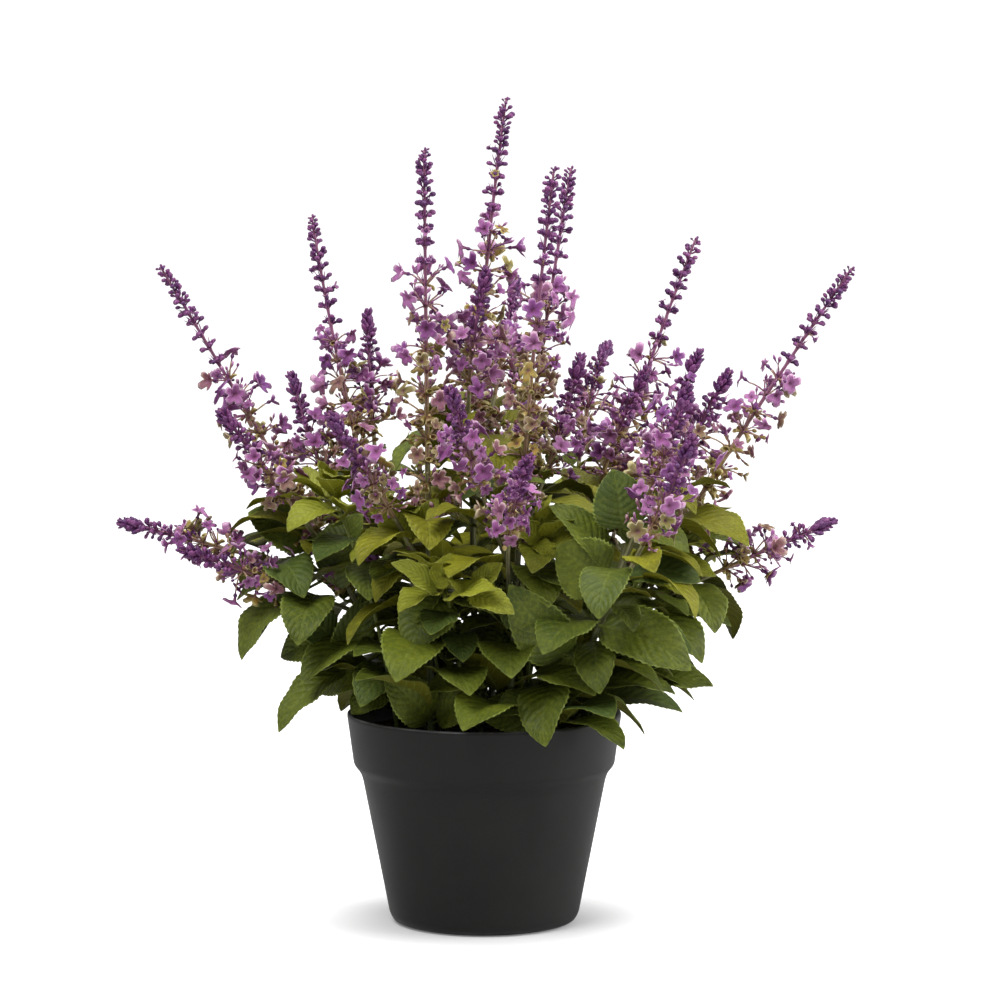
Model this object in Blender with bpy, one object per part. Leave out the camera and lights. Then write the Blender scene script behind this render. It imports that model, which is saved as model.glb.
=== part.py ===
"""A potted salvia: a black tapered pot filled with soil, nine square leafy stems whose tops
and side shoots end in flower spikes, and lime-green leafy shoots between them. Metres, +Z up,
origin at the middle of the pot's flat underside. It builds one object for each piece."""

import math
import random

import bmesh
import bpy
from mathutils import Matrix, Vector
from mathutils.bvhtree import BVHTree

MM = 0.001
SEAT_GAP = 0.3 * MM

# Pot: a turned plastic shell with a plain band at the rim and a step under it.
POT_HEIGHT = 114 * MM
RIM_RADIUS = 74 * MM
BAND_FOOT_RADIUS = 70.3 * MM
BAND_FOOT_HEIGHT = 86 * MM
STEP_RADIUS = 66 * MM
STEP_HEIGHT = 80 * MM
BASE_RADIUS = 50 * MM
BASE_ROUND = 5 * MM
POT_WALL = 2.2 * MM
POT_SIDES = 28

# Soil: it fills the pot to a little under the rim, and each stem stands in a plain hole.
SOIL_EDGE_HEIGHT = 102 * MM
SOIL_CROWN_HEIGHT = 105 * MM
SOIL_GAP = 0.6 * MM
ROOT_DEPTH = 24 * MM
STRAIGHT_NECK = 6 * MM
HOLE_SIDES = 5

# Stems are square, as in the mint family. These are half sides, from the root to a tip.
STEM_HALF_LOW = 1.8 * MM
STEM_HALF_TOP = 1.3 * MM
SHOOT_HALF = 1.0 * MM
LIME_HALF = 1.2 * MM
NODE_BAND = 2.4 * MM
SHOOT_STEP = 22 * MM
FORK_REACH = 4.5 * MM
CLEARANCE = 0.4 * MM
# A side shoot bends at a point this share of the way to its tip, moved out and up by two more.
SHOOT_BEND, SHOOT_BEND_OUT, SHOOT_BEND_UP = 0.3, 0.16, 0.2

# Leaves: ovate, toothed, folded along the rib and drooping towards the tip.
# Each kind of leaf has a length, a width, a petiole and a number of teeth on each edge.
LOW_LEAF = (50 * MM, 34 * MM, 10 * MM, 3)
HIGH_LEAF = (50 * MM, 34 * MM, 10 * MM, 2)
SHOOT_LEAF = (43 * MM, 29 * MM, 9 * MM, 2)
LIME_LEAF = (30 * MM, 21 * MM, 5 * MM, 2)
LEAF_FOLD = math.radians(13)
LEAF_DROOP = math.radians(70)
LEAF_SIZE_LOW, LEAF_SIZE_LOSS = 1.06, 0.26
# A petiole runs out from the stem, up along it and on towards the blade by these shares.
PETIOLE_OUT, PETIOLE_UP, PETIOLE_ON = 0.62, 0.42, 0.25
PETIOLE_FOOT_OUT, PETIOLE_FOOT_UP, PETIOLE_FOOT_HALF = 1.2 * MM, 0.5 * MM, 0.8 * MM
COLLAR_SPREAD = 1.6
# The blade's half width is WIDTH_FACTOR t^WIDTH_RISE (1 - t)^WIDTH_FALL of half the leaf's width.
WIDTH_FACTOR, WIDTH_RISE, WIDTH_FALL = 2.745, 0.6, 0.9
# A notch and a tooth point in each tooth's length, with the share of the width left there.
TOOTH = ((0.4, 0.84), (0.95, 1.0))
TOOTH_MARGIN = 0.4

# Leaf pairs stand at these heights above the soil in millimetres, each with its pitch in degrees.
# Low in the dark middle of the plant the stems are bare.
LEAF_PAIRS = ((12, 46), (30, 26), (49, 4), (69, 8), (91, 14), (114, 26))
HIGH_LEAF_SHARE = 0.42
BARE_RADIUS = 16 * MM
BARE_HEIGHT = 40
SHOOT_LEAF_SHARE = 0.58
SHOOT_LEAF_PITCH = math.radians(6)
PETIOLE_HALF = 0.55 * MM
RIB_THICKNESS = 1.2 * MM
RIB_SHARES = (0.3, 0.66)
OUTWARD_PULL = 0.8

# Turns tried in order, as degrees of yaw and of lift and a size, until a leaf hangs clear.
LEAF_TURNS = (
    (0, 0, 1.0), (20, 8, 1.0), (-20, 8, 1.0), (0, 24, 1.0), (0, -20, 1.0),
    (40, 0, 1.0), (-40, 0, 1.0), (24, 32, 0.95), (-24, 32, 0.95), (24, -24, 0.95),
    (-24, -24, 0.95), (56, 20, 0.9), (-56, 20, 0.9), (0, 48, 0.9), (40, 44, 0.8),
    (-40, 44, 0.8), (64, -10, 0.8), (-64, -10, 0.8), (0, 64, 0.65), (30, 60, 0.55),
)

# Spikes, in millimetres from the tip: rings of the dense cone as (distance, half side),
# whorls of buds, and whorls of open flowers. Below the last whorl the stalk is bare.
TALL_CONE = ((0.4, 0.4), (5, 0.9), (11, 1.2), (17, 1.2), (24, 1.0))
TALL_BUDS = (32, 43, 56)
TALL_BLOOMS = (72, 92, 114, 138)
TALL_LENGTH = 165 * MM
TALL_SCALE = 4.0 * MM
SHORT_CONE = ((0.4, 0.5), (7, 2.1), (14, 2.3), (22, 1.2))
SHORT_BUDS = (30,)
SHORT_BLOOMS = (41, 55)
SHORT_LENGTH = 72 * MM
SHORT_SCALE = 3.6 * MM
WHORL_BAND = 1.8 * MM
BUD_LENGTH = 5.4 * MM
BUD_HALF = 1.25 * MM
BUD_RISE = math.radians(36)
BUD_WIDEST = 0.64
BUD_FOOT, BUD_NECK = 0.8 * MM, 0.5
SCALE_OUT, SCALE_UP = 0.75, 0.85
BRACT_LENGTH = 3.6 * MM
BRACT_OUT, BRACT_UP = 0.7, 0.75
BRACT_FOOT, BRACT_HALF = 0.3, 0.5 * MM
BLOOM_STALK = 9 * MM
BLOOM_FOOT, BLOOM_FOOT_HALF = 1.4 * MM, 0.5 * MM
BLOOM_THROAT_HALF = 0.8 * MM
BLOOM_RADIUS = 5.8 * MM
BLOOM_NOTCH = 0.62
BLOOM_DEPTH = 2.6 * MM
PETAL_THICKNESS = 1.2 * MM

# Each spray in millimetres: its hole in the soil, the point that its stem bends towards and
# its tip, then the share of the stem at which each side shoot forks, and that shoot's tip.
SPRAYS = {
    "left": ((-32, 0, 104), (-90, 6, 215), (-174, 10, 354),
             ((0.25, (-162, -40, 207)), (0.31, (-199, 15, 215)), (0.37, (-140, -45, 282)))),
    "left_back": ((-24, 28, 104), (-72, 52, 235), (-95, 75, 378),
                  ((0.30, (-107, 80, 292)), (0.36, (-65, 104, 325)))),
    "left_front": ((-28, -30, 104), (-30, -42, 260), (-31, -55, 419),
                   ((0.28, (-81, -85, 284)),)),
    "centre": ((-2, 4, 104), (-14, 0, 260), (12, 0, 444),
               ((0.36, (2, -45, 357)), (0.40, (17, 60, 346)))),
    "front": ((14, -36, 104), (18, -48, 260), (37, -45, 409),
              ((0.22, (24, -135, 266)), (0.28, (-18, -115, 300)), (0.35, (52, -10, 309)))),
    "back": ((2, 42, 104), (22, 66, 250), (48, 95, 404),
             ((0.26, (22, 140, 276)), (0.33, (-20, 120, 311)))),
    "right_back": ((30, 24, 104), (66, 44, 240), (116, 60, 367),
                   ((0.30, (70, 130, 305)), (0.36, (89, 10, 300)))),
    "right": ((42, 0, 104), (102, -2, 215), (197, 0, 354),
              ((0.25, (189, -10, 219)), (0.33, (130, -50, 303)))),
    "front_right": ((36, -32, 104), (72, -72, 195), (107, -85, 299),
                    ((0.36, (108, -124, 276)), (0.42, (114, -46, 314)))),
}
SHORT_TOPPED = "front_right"

# Leaf pairs of a lime shoot: the distance below its tip in millimetres, the size and the pitch.
LIME_PAIRS = ((13, 1.05, 22), (4, 0.80, 52))
LIME_BEND_SHARE = 0.65
LIME_TIP_HALF = 0.6 * MM
LIME_LEAN = 0.18
LIME_LIFT = 16 * MM

# Lime shoots in millimetres: the hole in the soil and the point that the top reaches.
LIME_SHOOTS = (
    ((-46, -14, 103), (-82, -30, 237)),
    ((-20, -8, 104), (-48, -38, 222)),
    ((-10, -14, 104), (-22, -74, 196)),
    ((22, -14, 104), (30, -58, 218)),
    ((56, -10, 103), (92, -44, 206)),
    ((54, 16, 103), (110, 16, 214)),
    ((22, 54, 103), (52, 96, 214)),
    ((-34, 50, 103), (-62, 96, 212)),
)

FINISHES = {
    "pot": ((0.030, 0.030, 0.031), 0.55),
    "soil": ((0.060, 0.040, 0.026), 0.95),
    "leaf": ((0.070, 0.130, 0.035), 0.50),
    "lime": ((0.270, 0.290, 0.040), 0.50),
    "bloom": ((0.200, 0.060, 0.260), 0.60),
}

# Every shape that a later one has to clear: its owner, centre, radius and search tree.
neighbours = []


def clear_scene():
    for obj in list(bpy.data.objects):
        bpy.data.objects.remove(obj)


def finish_material(kind):
    """One Principled material for each finish, shared by the pieces that have it."""
    material = bpy.data.materials.get(kind)
    if material is None:
        colour, roughness = FINISHES[kind]
        material = bpy.data.materials.new(kind)
        material.use_nodes = True
        shader = material.node_tree.nodes["Principled BSDF"]
        shader.inputs["Base Color"].default_value = (*colour, 1)
        shader.inputs["Roughness"].default_value = roughness
        shader.inputs["Metallic"].default_value = 0
    return material


def add_object(name, mesh, kind):
    obj = bpy.data.objects.new(name, mesh)
    mesh.materials.append(finish_material(kind))
    bpy.context.scene.collection.objects.link(obj)
    return obj


def object_from(bm, name, kind):
    """Turns a grown shape's faces outwards and gives it an object."""
    bmesh.ops.triangulate(bm, faces=bm.faces[:])
    bmesh.ops.recalc_face_normals(bm, faces=bm.faces[:])
    mesh = bpy.data.meshes.new(name)
    bm.to_mesh(mesh)
    bm.free()
    add_object(name, mesh, kind)


# Clearance between leaves, flowers, stems and the pot

def outer_sphere(points):
    centre = sum(points, Vector()) / len(points)
    return centre, max((p - centre).length for p in points)


def remember(shell, owner=None):
    """Adds a shape to those that later ones have to clear."""
    neighbours.append((owner, *outer_sphere(shell[0]), BVHTree.FromPolygons(*shell)))


def hangs_clear(shell, owner=None):
    """Whether a shape crosses none of its neighbours, leaving out those of its own stalk."""
    centre, radius = outer_sphere(shell[0])
    tree = BVHTree.FromPolygons(*shell)
    for other_owner, middle, reach, other in neighbours:
        apart = (middle - centre).length > radius + reach
        own = owner is not None and other_owner is owner
        if not apart and not own and tree.overlap(other):
            return False
    return True


def ring_shell(rings, tip=None):
    """Points and faces of the skin through rings of four points, closed to a tip if there is one."""
    points = [point for ring in rings for point in ring]
    faces = []
    for first in range(0, 4 * (len(rings) - 1), 4):
        faces += [(first + k, first + (k + 1) % 4, first + 4 + (k + 1) % 4, first + 4 + k) for k in range(4)]
    if tip is not None:
        last = len(points) - 4
        points.append(tip)
        faces += [(last + k, last + (k + 1) % 4, last + 4) for k in range(4)]
    return points, faces


def remember_rod(route, stations):
    """Remembers each stretch between a rod's stations as a box a little larger than it is."""
    rings = [route.ring(distance, half + CLEARANCE, twist) for distance, half, twist in stations]
    for near, far in zip(rings, rings[1:]):
        remember(ring_shell([near, far]), route)


# Pot and soil, turned from profiles of (radius, height) that run down the outer side

def turned(name, profile, kind):
    mesh = bpy.data.meshes.new(name)
    points = [(radius, 0, height) for radius, height in profile]
    mesh.from_pydata(points, [(i, i + 1) for i in range(len(points) - 1)], [])
    obj = add_object(name, mesh, kind)
    screw = obj.modifiers.new("turn", "SCREW")
    screw.steps = screw.render_steps = POT_SIDES
    screw.use_merge_vertices = True
    screw.merge_threshold = 0.0001
    screw.use_smooth_shade = True
    return obj


def remember_turned(profile):
    points, faces = [], []
    for k in range(POT_SIDES):
        angle = 2 * math.pi * k / POT_SIDES
        points += [Vector((r * math.cos(angle), r * math.sin(angle), z)) for r, z in profile]
    count = len(profile)
    for k in range(POT_SIDES):
        here, after = k * count, (k + 1) % POT_SIDES * count
        faces += [(here + i, here + i + 1, after + i + 1, after + i) for i in range(count - 1)]
    remember((points, faces))


def pot():
    """A shell: inside floor, inner wall, rounded rim, band, step, taper and rounded foot."""
    inner = [
        (0, POT_WALL),
        (BASE_RADIUS - POT_WALL, POT_WALL),
        (STEP_RADIUS - POT_WALL, STEP_HEIGHT),
        (BAND_FOOT_RADIUS - POT_WALL, BAND_FOOT_HEIGHT + POT_WALL),
        (RIM_RADIUS - POT_WALL, POT_HEIGHT - 0.6 * MM),
    ]
    outer = [
        (RIM_RADIUS - 0.5 * POT_WALL, POT_HEIGHT),
        (RIM_RADIUS, POT_HEIGHT - 0.8 * MM),
        (BAND_FOOT_RADIUS, BAND_FOOT_HEIGHT),
        (STEP_RADIUS + 0.8 * MM, STEP_HEIGHT + 1.6 * MM),
        (STEP_RADIUS - 0.6 * MM, STEP_HEIGHT - 2.5 * MM),
        (BASE_RADIUS + 1.2 * MM, BASE_ROUND),
        (BASE_RADIUS - 0.8 * MM, 1.2 * MM),
        (BASE_RADIUS - BASE_ROUND, 0),
        (0, 0),
    ]
    turned("pot", inner + outer, "pot")
    remember_turned(inner[3:] + outer[:4])


def soil(holes):
    """A plug inside the pot's wall, with a plain blind hole for each stem."""
    inset = POT_WALL + SOIL_GAP
    wall_slope = (RIM_RADIUS - BAND_FOOT_RADIUS) / (POT_HEIGHT - BAND_FOOT_HEIGHT)
    edge = RIM_RADIUS - inset - (POT_HEIGHT - SOIL_EDGE_HEIGHT) * wall_slope
    surface = [(0, SOIL_CROWN_HEIGHT), (edge * 0.6, SOIL_CROWN_HEIGHT - 1 * MM), (edge, SOIL_EDGE_HEIGHT)]
    wall = [
        (BAND_FOOT_RADIUS - inset, BAND_FOOT_HEIGHT + POT_WALL),
        (STEP_RADIUS - inset, STEP_HEIGHT),
        (BASE_RADIUS - inset, POT_WALL + SEAT_GAP),
        (0, POT_WALL + SEAT_GAP),
    ]
    plug = turned("soil", surface + wall, "soil")
    remember_turned(surface)
    cutters = bpy.data.collections.new("hole_cutters")
    bpy.context.scene.collection.children.link(cutters)
    for number, (mouth, way, half) in enumerate(holes):
        radius = (half * math.sqrt(2) + SEAT_GAP) / math.cos(math.pi / HOLE_SIDES)
        length = ROOT_DEPTH + SEAT_GAP + STRAIGHT_NECK
        bm = bmesh.new()
        bmesh.ops.create_cone(
            bm, cap_ends=True, segments=HOLE_SIDES, radius1=radius, radius2=radius, depth=length
        )
        cutter = bpy.data.meshes.new(f"hole_cutter_{number}")
        bm.to_mesh(cutter)
        bm.free()
        obj = bpy.data.objects.new(cutter.name, cutter)
        obj.location = mouth + way * (length / 2 - ROOT_DEPTH - SEAT_GAP)
        obj.rotation_mode = "QUATERNION"
        obj.rotation_quaternion = way.to_track_quat("Z", "Y")
        obj.hide_render = True
        obj.display_type = "WIRE"
        cutters.objects.link(obj)
    cut = plug.modifiers.new("stem_holes", "BOOLEAN")
    cut.operation = "DIFFERENCE"
    cut.operand_type = "COLLECTION"
    cut.collection = cutters


# Routes and the square rods that run along them

class Route:
    """A stem's line by distance along it, with a side direction that turns with it, untwisted."""

    def __init__(self, points, side=Vector((1, 0, 0))):
        self.points = points
        self.reach = [0.0]
        for a, b in zip(points, points[1:]):
            self.reach.append(self.reach[-1] + (b - a).length)
        self.length = self.reach[-1]
        self.sides = []
        for distance in self.reach:
            tangent = self.tangent(distance)
            side = (side - tangent * side.dot(tangent)).normalized()
            self.sides.append(side)

    def stretch(self, distance):
        last = len(self.points) - 2
        i = next((k for k in range(last) if self.reach[k + 1] >= distance), last)
        return i, (distance - self.reach[i]) / (self.reach[i + 1] - self.reach[i])

    def at(self, distance):
        i, share = self.stretch(distance)
        return self.points[i].lerp(self.points[i + 1], share)

    def tangent(self, distance):
        i, _ = self.stretch(distance)
        return (self.points[i + 1] - self.points[i]).normalized()

    def out(self, distance, turn):
        """The direction square to the stem at an angle round it."""
        i, share = self.stretch(distance)
        side = self.sides[i].lerp(self.sides[i + 1], share).normalized()
        return Matrix.Rotation(turn, 3, self.tangent(distance)) @ side

    def ring(self, distance, half, twist):
        """Four corners of the square section; side k faces out at twist + k quarter turns."""
        corners = []
        for k in range(4):
            turn = twist + (k - 0.5) * math.pi / 2
            corners.append(self.at(distance) + self.out(distance, turn) * half * math.sqrt(2))
        return corners


def curve_points(start, bend, end, steps=48):
    """Points of the quadratic curve from start to end that bends towards a third point."""
    shares = [k / steps for k in range(steps + 1)]
    return [start * (1 - t) ** 2 + bend * 2 * t * (1 - t) + end * t**2 for t in shares]


def rooted_route(hole, bend, tip):
    """A straight root and neck in the soil's hole, then the curve up to the tip."""
    way = (bend - hole).normalized()
    neck = hole + way * STRAIGHT_NECK
    return Route([hole - way * ROOT_DEPTH, *curve_points(neck, bend, tip)]), way


def even_stations(begin, end, half, pieces):
    return [(begin + (end - begin) * k / pieces, half, 0) for k in range(pieces + 1)]


def rod(route, stations):
    """A square rod through (distance, half side, twist) stations, capped at both ends.
    Returns it with the four side faces of each stretch between stations."""
    bm = bmesh.new()
    rings = [[bm.verts.new(point) for point in route.ring(*station)] for station in stations]
    bm.faces.new(rings[0][::-1])
    bm.faces.new(rings[-1])
    bands = []
    for low, high in zip(rings, rings[1:]):
        sides = [(low[k], low[(k + 1) % 4], high[(k + 1) % 4], high[k]) for k in range(4)]
        bands.append([bm.faces.new(side) for side in sides])
    return bm, bands


class Seat:
    """One side face of a rod, where something grows: its middle, outward way and tangent."""

    def __init__(self, route, low, high, side):
        distance = (low[0] + high[0]) / 2
        turn = (low[2] + high[2]) / 2 + side * math.pi / 2
        self.route = route
        self.out = route.out(distance, turn)
        self.tangent = route.tangent(distance)
        self.middle = route.at(distance) + self.out * (low[1] + high[1]) / 2
        self.across = self.out.cross(self.tangent)


def corner_signs(face, along, across):
    """For each corner of a face: is it forward or back, and right or left?"""
    middle = face.calc_center_median()
    offsets = [vert.co - middle for vert in face.verts]
    return [(1 if o.dot(along) > 0 else -1, 1 if o.dot(across) > 0 else -1) for o in offsets]


def squared(signs, centre, along, across, half):
    return [centre + (along * a + across * c) * half for a, c in signs]


def extrude_to(bm, face, ring):
    """Draws a four-sided face out to the given corners."""
    made = bmesh.ops.extrude_discrete_faces(bm, faces=[face])["faces"][0]
    for vert, point in zip(made.verts, ring):
        vert.co = point
    return made


def best_start(face, centre, ring):
    """Which corner of a ring follows the face's first one, so that a drawn piece isn't wrung."""
    middle = face.calc_center_median()

    def likeness(start):
        pairs = zip(face.verts, ring[start:] + ring[:start])
        return sum((vert.co - middle).normalized().dot((point - centre).normalized()) for vert, point in pairs)

    return max(range(4), key=likeness)


def draw_to_point(bm, face, tip):
    bmesh.ops.poke(bm, faces=[face])["verts"][0].co = tip


# Leaves

class Leaf:
    """A blade along an arc: at share t of its length the rib has turned down by t times the
    droop."""

    def __init__(self, seat, turn, draws, length, width, petiole, pitch):
        yaw, lift, size = turn
        jitter, tilt, roll, growth, sag = draws
        outside = Vector((seat.middle.x, seat.middle.y, 0)).normalized() * OUTWARD_PULL
        heading = math.atan2(seat.out.y + outside.y, seat.out.x + outside.x) + jitter + math.radians(yaw)
        pitch += tilt + math.radians(lift)
        level = Vector((math.cos(heading), math.sin(heading), 0))
        self.forward = level * math.cos(pitch) + Vector((0, 0, math.sin(pitch)))
        self.across = Matrix.Rotation(roll, 3, self.forward) @ Vector((level.y, -level.x, 0))
        self.up = self.across.cross(self.forward)
        self.length, self.half_width = length * growth * size, width * growth * size / 2
        self.droop = LEAF_DROOP * sag
        knee = seat.out * petiole * PETIOLE_OUT + seat.tangent * petiole * PETIOLE_UP
        self.base = seat.middle + knee + self.forward * petiole * PETIOLE_ON
        self.tip = self.rib(1)

    def normal(self, t):
        turn = self.droop * t
        return self.up * math.cos(turn) + self.forward * math.sin(turn)

    def rib(self, t, above=0.0):
        turn = self.droop * t
        along = self.length * math.sin(turn) / self.droop
        drop = self.length * (1 - math.cos(turn)) / self.droop
        return self.base + self.forward * along - self.up * drop + self.normal(t) * above

    def edge(self, hand, teeth):
        """Notches and tooth points along one edge, raised by the fold."""
        points = []
        for tooth in range(teeth):
            for place, cut in TOOTH:
                t = (tooth + place) / (teeth + TOOTH_MARGIN)
                half = self.half_width * WIDTH_FACTOR * t**WIDTH_RISE * (1 - t) ** WIDTH_FALL * cut
                sideways = self.across * hand * math.cos(LEAF_FOLD) + self.normal(t) * math.sin(LEAF_FOLD)
                points.append(self.rib(t) + sideways * half)
        return points

    def lines(self, teeth, thickness):
        """The two edges and the rib's two faces, between the collar and the tip."""
        return {
            "left": self.edge(-1, teeth),
            "right": self.edge(1, teeth),
            "top": [self.rib(t, thickness / 2) for t in RIB_SHARES],
            "under": [self.rib(t, -thickness / 2) for t in RIB_SHARES],
        }

    def collar(self, half):
        """The petiole's end, a lozenge wider than it is thick, with its corners in turn."""
        return {
            "top": self.base + self.up * half,
            "right": self.base + self.across * half * COLLAR_SPREAD,
            "under": self.base - self.up * half,
            "left": self.base - self.across * half * COLLAR_SPREAD,
        }


def zipped(side, middle):
    """Triangles between an edge line and a rib line that meet at the tip."""
    faces, i, j = [], 0, 0
    while i < len(side) - 1 or j < len(middle) - 1:
        if (i + 1) / (len(side) - 1) <= (j + 1) / (len(middle) - 1):
            faces.append((side[i], side[i + 1], middle[j]))
            i += 1
        else:
            faces.append((side[i], middle[j + 1], middle[j]))
            j += 1
    return [face for face in faces if len(set(face)) == 3]


def skin(lines):
    """The blade's faces: each edge line zipped to both faces of the rib."""
    faces = []
    for side in ("left", "right"):
        for rib in ("top", "under"):
            faces += zipped(lines[side], lines[rib])
    return faces


def blade_shell(leaf, teeth, collar):
    """Points and faces of a blade a little thicker than it is, for the clearance test."""
    points, numbers = [leaf.tip], {}
    for name, line in leaf.lines(teeth, RIB_THICKNESS + 2.5 * CLEARANCE).items():
        numbers[name] = [*range(len(points), len(points) + len(line) + 1), 0]
        points += [collar[name], *line]
    return points, skin(numbers)


def leaf_draws(key):
    """What differs from leaf to leaf: turn, tilt, roll, size and droop."""
    draw = random.Random(key)
    return (
        math.radians(draw.uniform(-14, 14)), math.radians(draw.uniform(-9, 9)),
        math.radians(draw.uniform(-16, 16)), draw.uniform(0.88, 1.1), draw.uniform(0.75, 1.25),
    )


def grow_leaf(bm, face, seat, key, size, pitch, shape):
    """A petiole and blade out of one side of a stem, at the first turn that hangs clear."""
    *parts, teeth = shape
    length, width, petiole = (part * size for part in parts)
    signs = corner_signs(face, seat.tangent, seat.across)
    foot_centre = seat.middle + seat.out * PETIOLE_FOOT_OUT + seat.tangent * PETIOLE_FOOT_UP
    foot = squared(signs, foot_centre, seat.tangent, seat.across, PETIOLE_FOOT_HALF + CLEARANCE)
    for turn in LEAF_TURNS:
        leaf = Leaf(seat, turn, leaf_draws(key), length, width, petiole, pitch)
        collar = leaf.collar(PETIOLE_HALF)
        names = list(collar)
        start = best_start(face, leaf.base, list(collar.values()))
        corners = names[start:] + names[:start]
        around = leaf.collar(PETIOLE_HALF + CLEARANCE)
        stalk = ring_shell([foot, [around[name] for name in corners]])
        blade = blade_shell(leaf, teeth, around)
        if hangs_clear(blade) and hangs_clear(stalk):
            break
    else:
        return
    remember(blade)
    remember(stalk)
    end = extrude_to(bm, face, [collar[name] for name in corners])
    collar_verts = dict(zip(corners, end.verts))
    bmesh.ops.delete(bm, geom=[end], context="FACES_ONLY")
    tip = bm.verts.new(leaf.tip)
    lines = {}
    for name, line in leaf.lines(teeth, RIB_THICKNESS).items():
        lines[name] = [collar_verts[name], *(bm.verts.new(point) for point in line), tip]
    for corners in skin(lines):
        bm.faces.new(corners)


# Buds and flowers

def grow_scale(bm, face, seat, length):
    """A pointed bud scale: the whole side drawn out and up to a point."""
    draw_to_point(bm, face, seat.middle + (seat.out * SCALE_OUT + seat.tangent * SCALE_UP) * length)


def grow_bract(bm, face, seat):
    """A thin pointed bract beside the buds."""
    tip = seat.middle + (seat.out * BRACT_OUT + seat.tangent * BRACT_UP) * BRACT_LENGTH
    signs = corner_signs(face, seat.tangent, seat.across)
    near = squared(signs, seat.middle.lerp(tip, BRACT_FOOT), seat.tangent, seat.across, BRACT_HALF)
    if hangs_clear(ring_shell([near], tip), seat.route):
        remember(ring_shell([near], tip))
        draw_to_point(bm, face, tip)


def grow_bud(bm, face, seat):
    """A club-shaped bud: widest near its end, then closed to a point."""
    way = seat.out * math.cos(BUD_RISE) + seat.tangent * math.sin(BUD_RISE)
    over = seat.tangent * math.cos(BUD_RISE) - seat.out * math.sin(BUD_RISE)
    signs = corner_signs(face, seat.tangent, seat.across)
    wide = squared(signs, seat.middle + way * BUD_LENGTH * BUD_WIDEST, over, seat.across, BUD_HALF)
    near = squared(signs, seat.middle + way * BUD_FOOT, over, seat.across, BUD_HALF * BUD_NECK)
    tip = seat.middle + way * BUD_LENGTH
    shell = ring_shell([near, wide], tip)
    if hangs_clear(shell, seat.route):
        remember(shell)
        draw_to_point(bm, extrude_to(bm, face, wide), tip)


def bloom_frames(seat, key):
    """Ways in which a flower can stand out of its whorl, the first choice first."""
    rise = random.Random(key).uniform(32, 50)
    for more, swing in ((0, 0), (12, 18), (12, -18), (-20, 0), (22, 34), (22, -34), (-26, 28), (-26, -28)):
        angle = math.radians(rise + more)
        way = seat.out * math.cos(angle) + seat.tangent * math.sin(angle)
        way.rotate(Matrix.Rotation(math.radians(swing), 3, seat.tangent))
        side = way.cross(seat.tangent).normalized()
        yield way, side, side.cross(way)


def grow_bloom(bm, face, seat, key):
    """An open flower on its stalk: a shallow cup of four petals round a throat."""
    signs = corner_signs(face, seat.tangent, seat.across)
    for way, side, over in bloom_frames(seat, key):
        hand = 1 if side.dot(seat.across) > 0 else -1
        turned_signs = [(a, c * hand) for a, c in signs]
        centre = seat.middle + way * BLOOM_STALK
        throat = squared(turned_signs, centre, over, side, BLOOM_THROAT_HALF)
        near = squared(turned_signs, seat.middle + way * BLOOM_FOOT, over, side, BLOOM_FOOT_HALF)
        rim = []
        for k in range(8):
            angle = k * math.pi / 4
            reach = BLOOM_RADIUS * (BLOOM_NOTCH if k % 2 else 1.0)
            rim.append(centre + way * BLOOM_DEPTH + (over * math.cos(angle) + side * math.sin(angle)) * reach)
        eye = centre + way * PETAL_THICKNESS
        points, faces = ring_shell([near, throat])
        first = len(points)
        points += [*rim, eye, centre]
        faces += [(first + k, first + (k + 1) % 8, first + last) for k in range(8) for last in (8, 9)]
        if hangs_clear((points, faces), seat.route):
            break
    else:
        grow_bud(bm, face, seat)
        return
    remember((points, faces))
    end = extrude_to(bm, face, throat)
    corners = dict(zip(turned_signs, end.verts))
    bmesh.ops.delete(bm, geom=[end], context="FACES_ONLY")
    petals = [bm.verts.new(point) for point in rim]
    middle = bm.verts.new(eye)
    ring = [corners[(1, 1)], corners[(-1, 1)], corners[(-1, -1)], corners[(1, -1)]]
    for k in range(8):
        after = petals[(k + 1) % 8]
        bm.faces.new((petals[k], after, middle))
        bm.faces.new((petals[k], after, ring[k // 2]))
        if k % 2:
            bm.faces.new((after, ring[k // 2], ring[(k // 2 + 1) % 4]))


def grow_spike(name, route, cone, buds, blooms, length, base_half, scale):
    """A flower spike: a dense cone of bud scales at the tip, then whorls of buds and bracts,
    then whorls of open flowers. Each whorl is turned by an eighth from the one below it."""
    tip_half = cone[-1][1] * MM
    stations, kinds, twist = [(route.length - length, base_half, 0.0)], ["plain"], 0.0
    for from_tip in sorted(buds + blooms, reverse=True):
        distance = route.length - from_tip * MM
        half = tip_half + (base_half - tip_half) * from_tip * MM / length
        stations += [(distance - WHORL_BAND, half, twist), (distance, half, twist)]
        kinds += ["blooms" if from_tip in blooms else "buds", "plain"]
        twist += math.pi / 4
    for from_tip, half in reversed(cone):
        stations.append((route.length - from_tip * MM, half * MM, twist))
        kinds.append("cone")
        twist += math.pi / 4
    bm, bands = rod(route, stations)
    for number, band in enumerate(bands):
        for side, face in enumerate(band):
            seat = Seat(route, stations[number], stations[number + 1], side)
            if kinds[number] == "cone":
                grow_scale(bm, face, seat, scale * min(1.0, 0.5 + (len(bands) - number) * 0.2))
            elif kinds[number] != "plain" and side % 2:
                grow_bract(bm, face, seat)
            elif kinds[number] == "blooms":
                grow_bloom(bm, face, seat, f"{name} {number} {side}")
            elif kinds[number] == "buds":
                grow_bud(bm, face, seat)
    object_from(bm, name, "bloom")


# Leafy stems, their side shoots and the lime shoots

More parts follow.
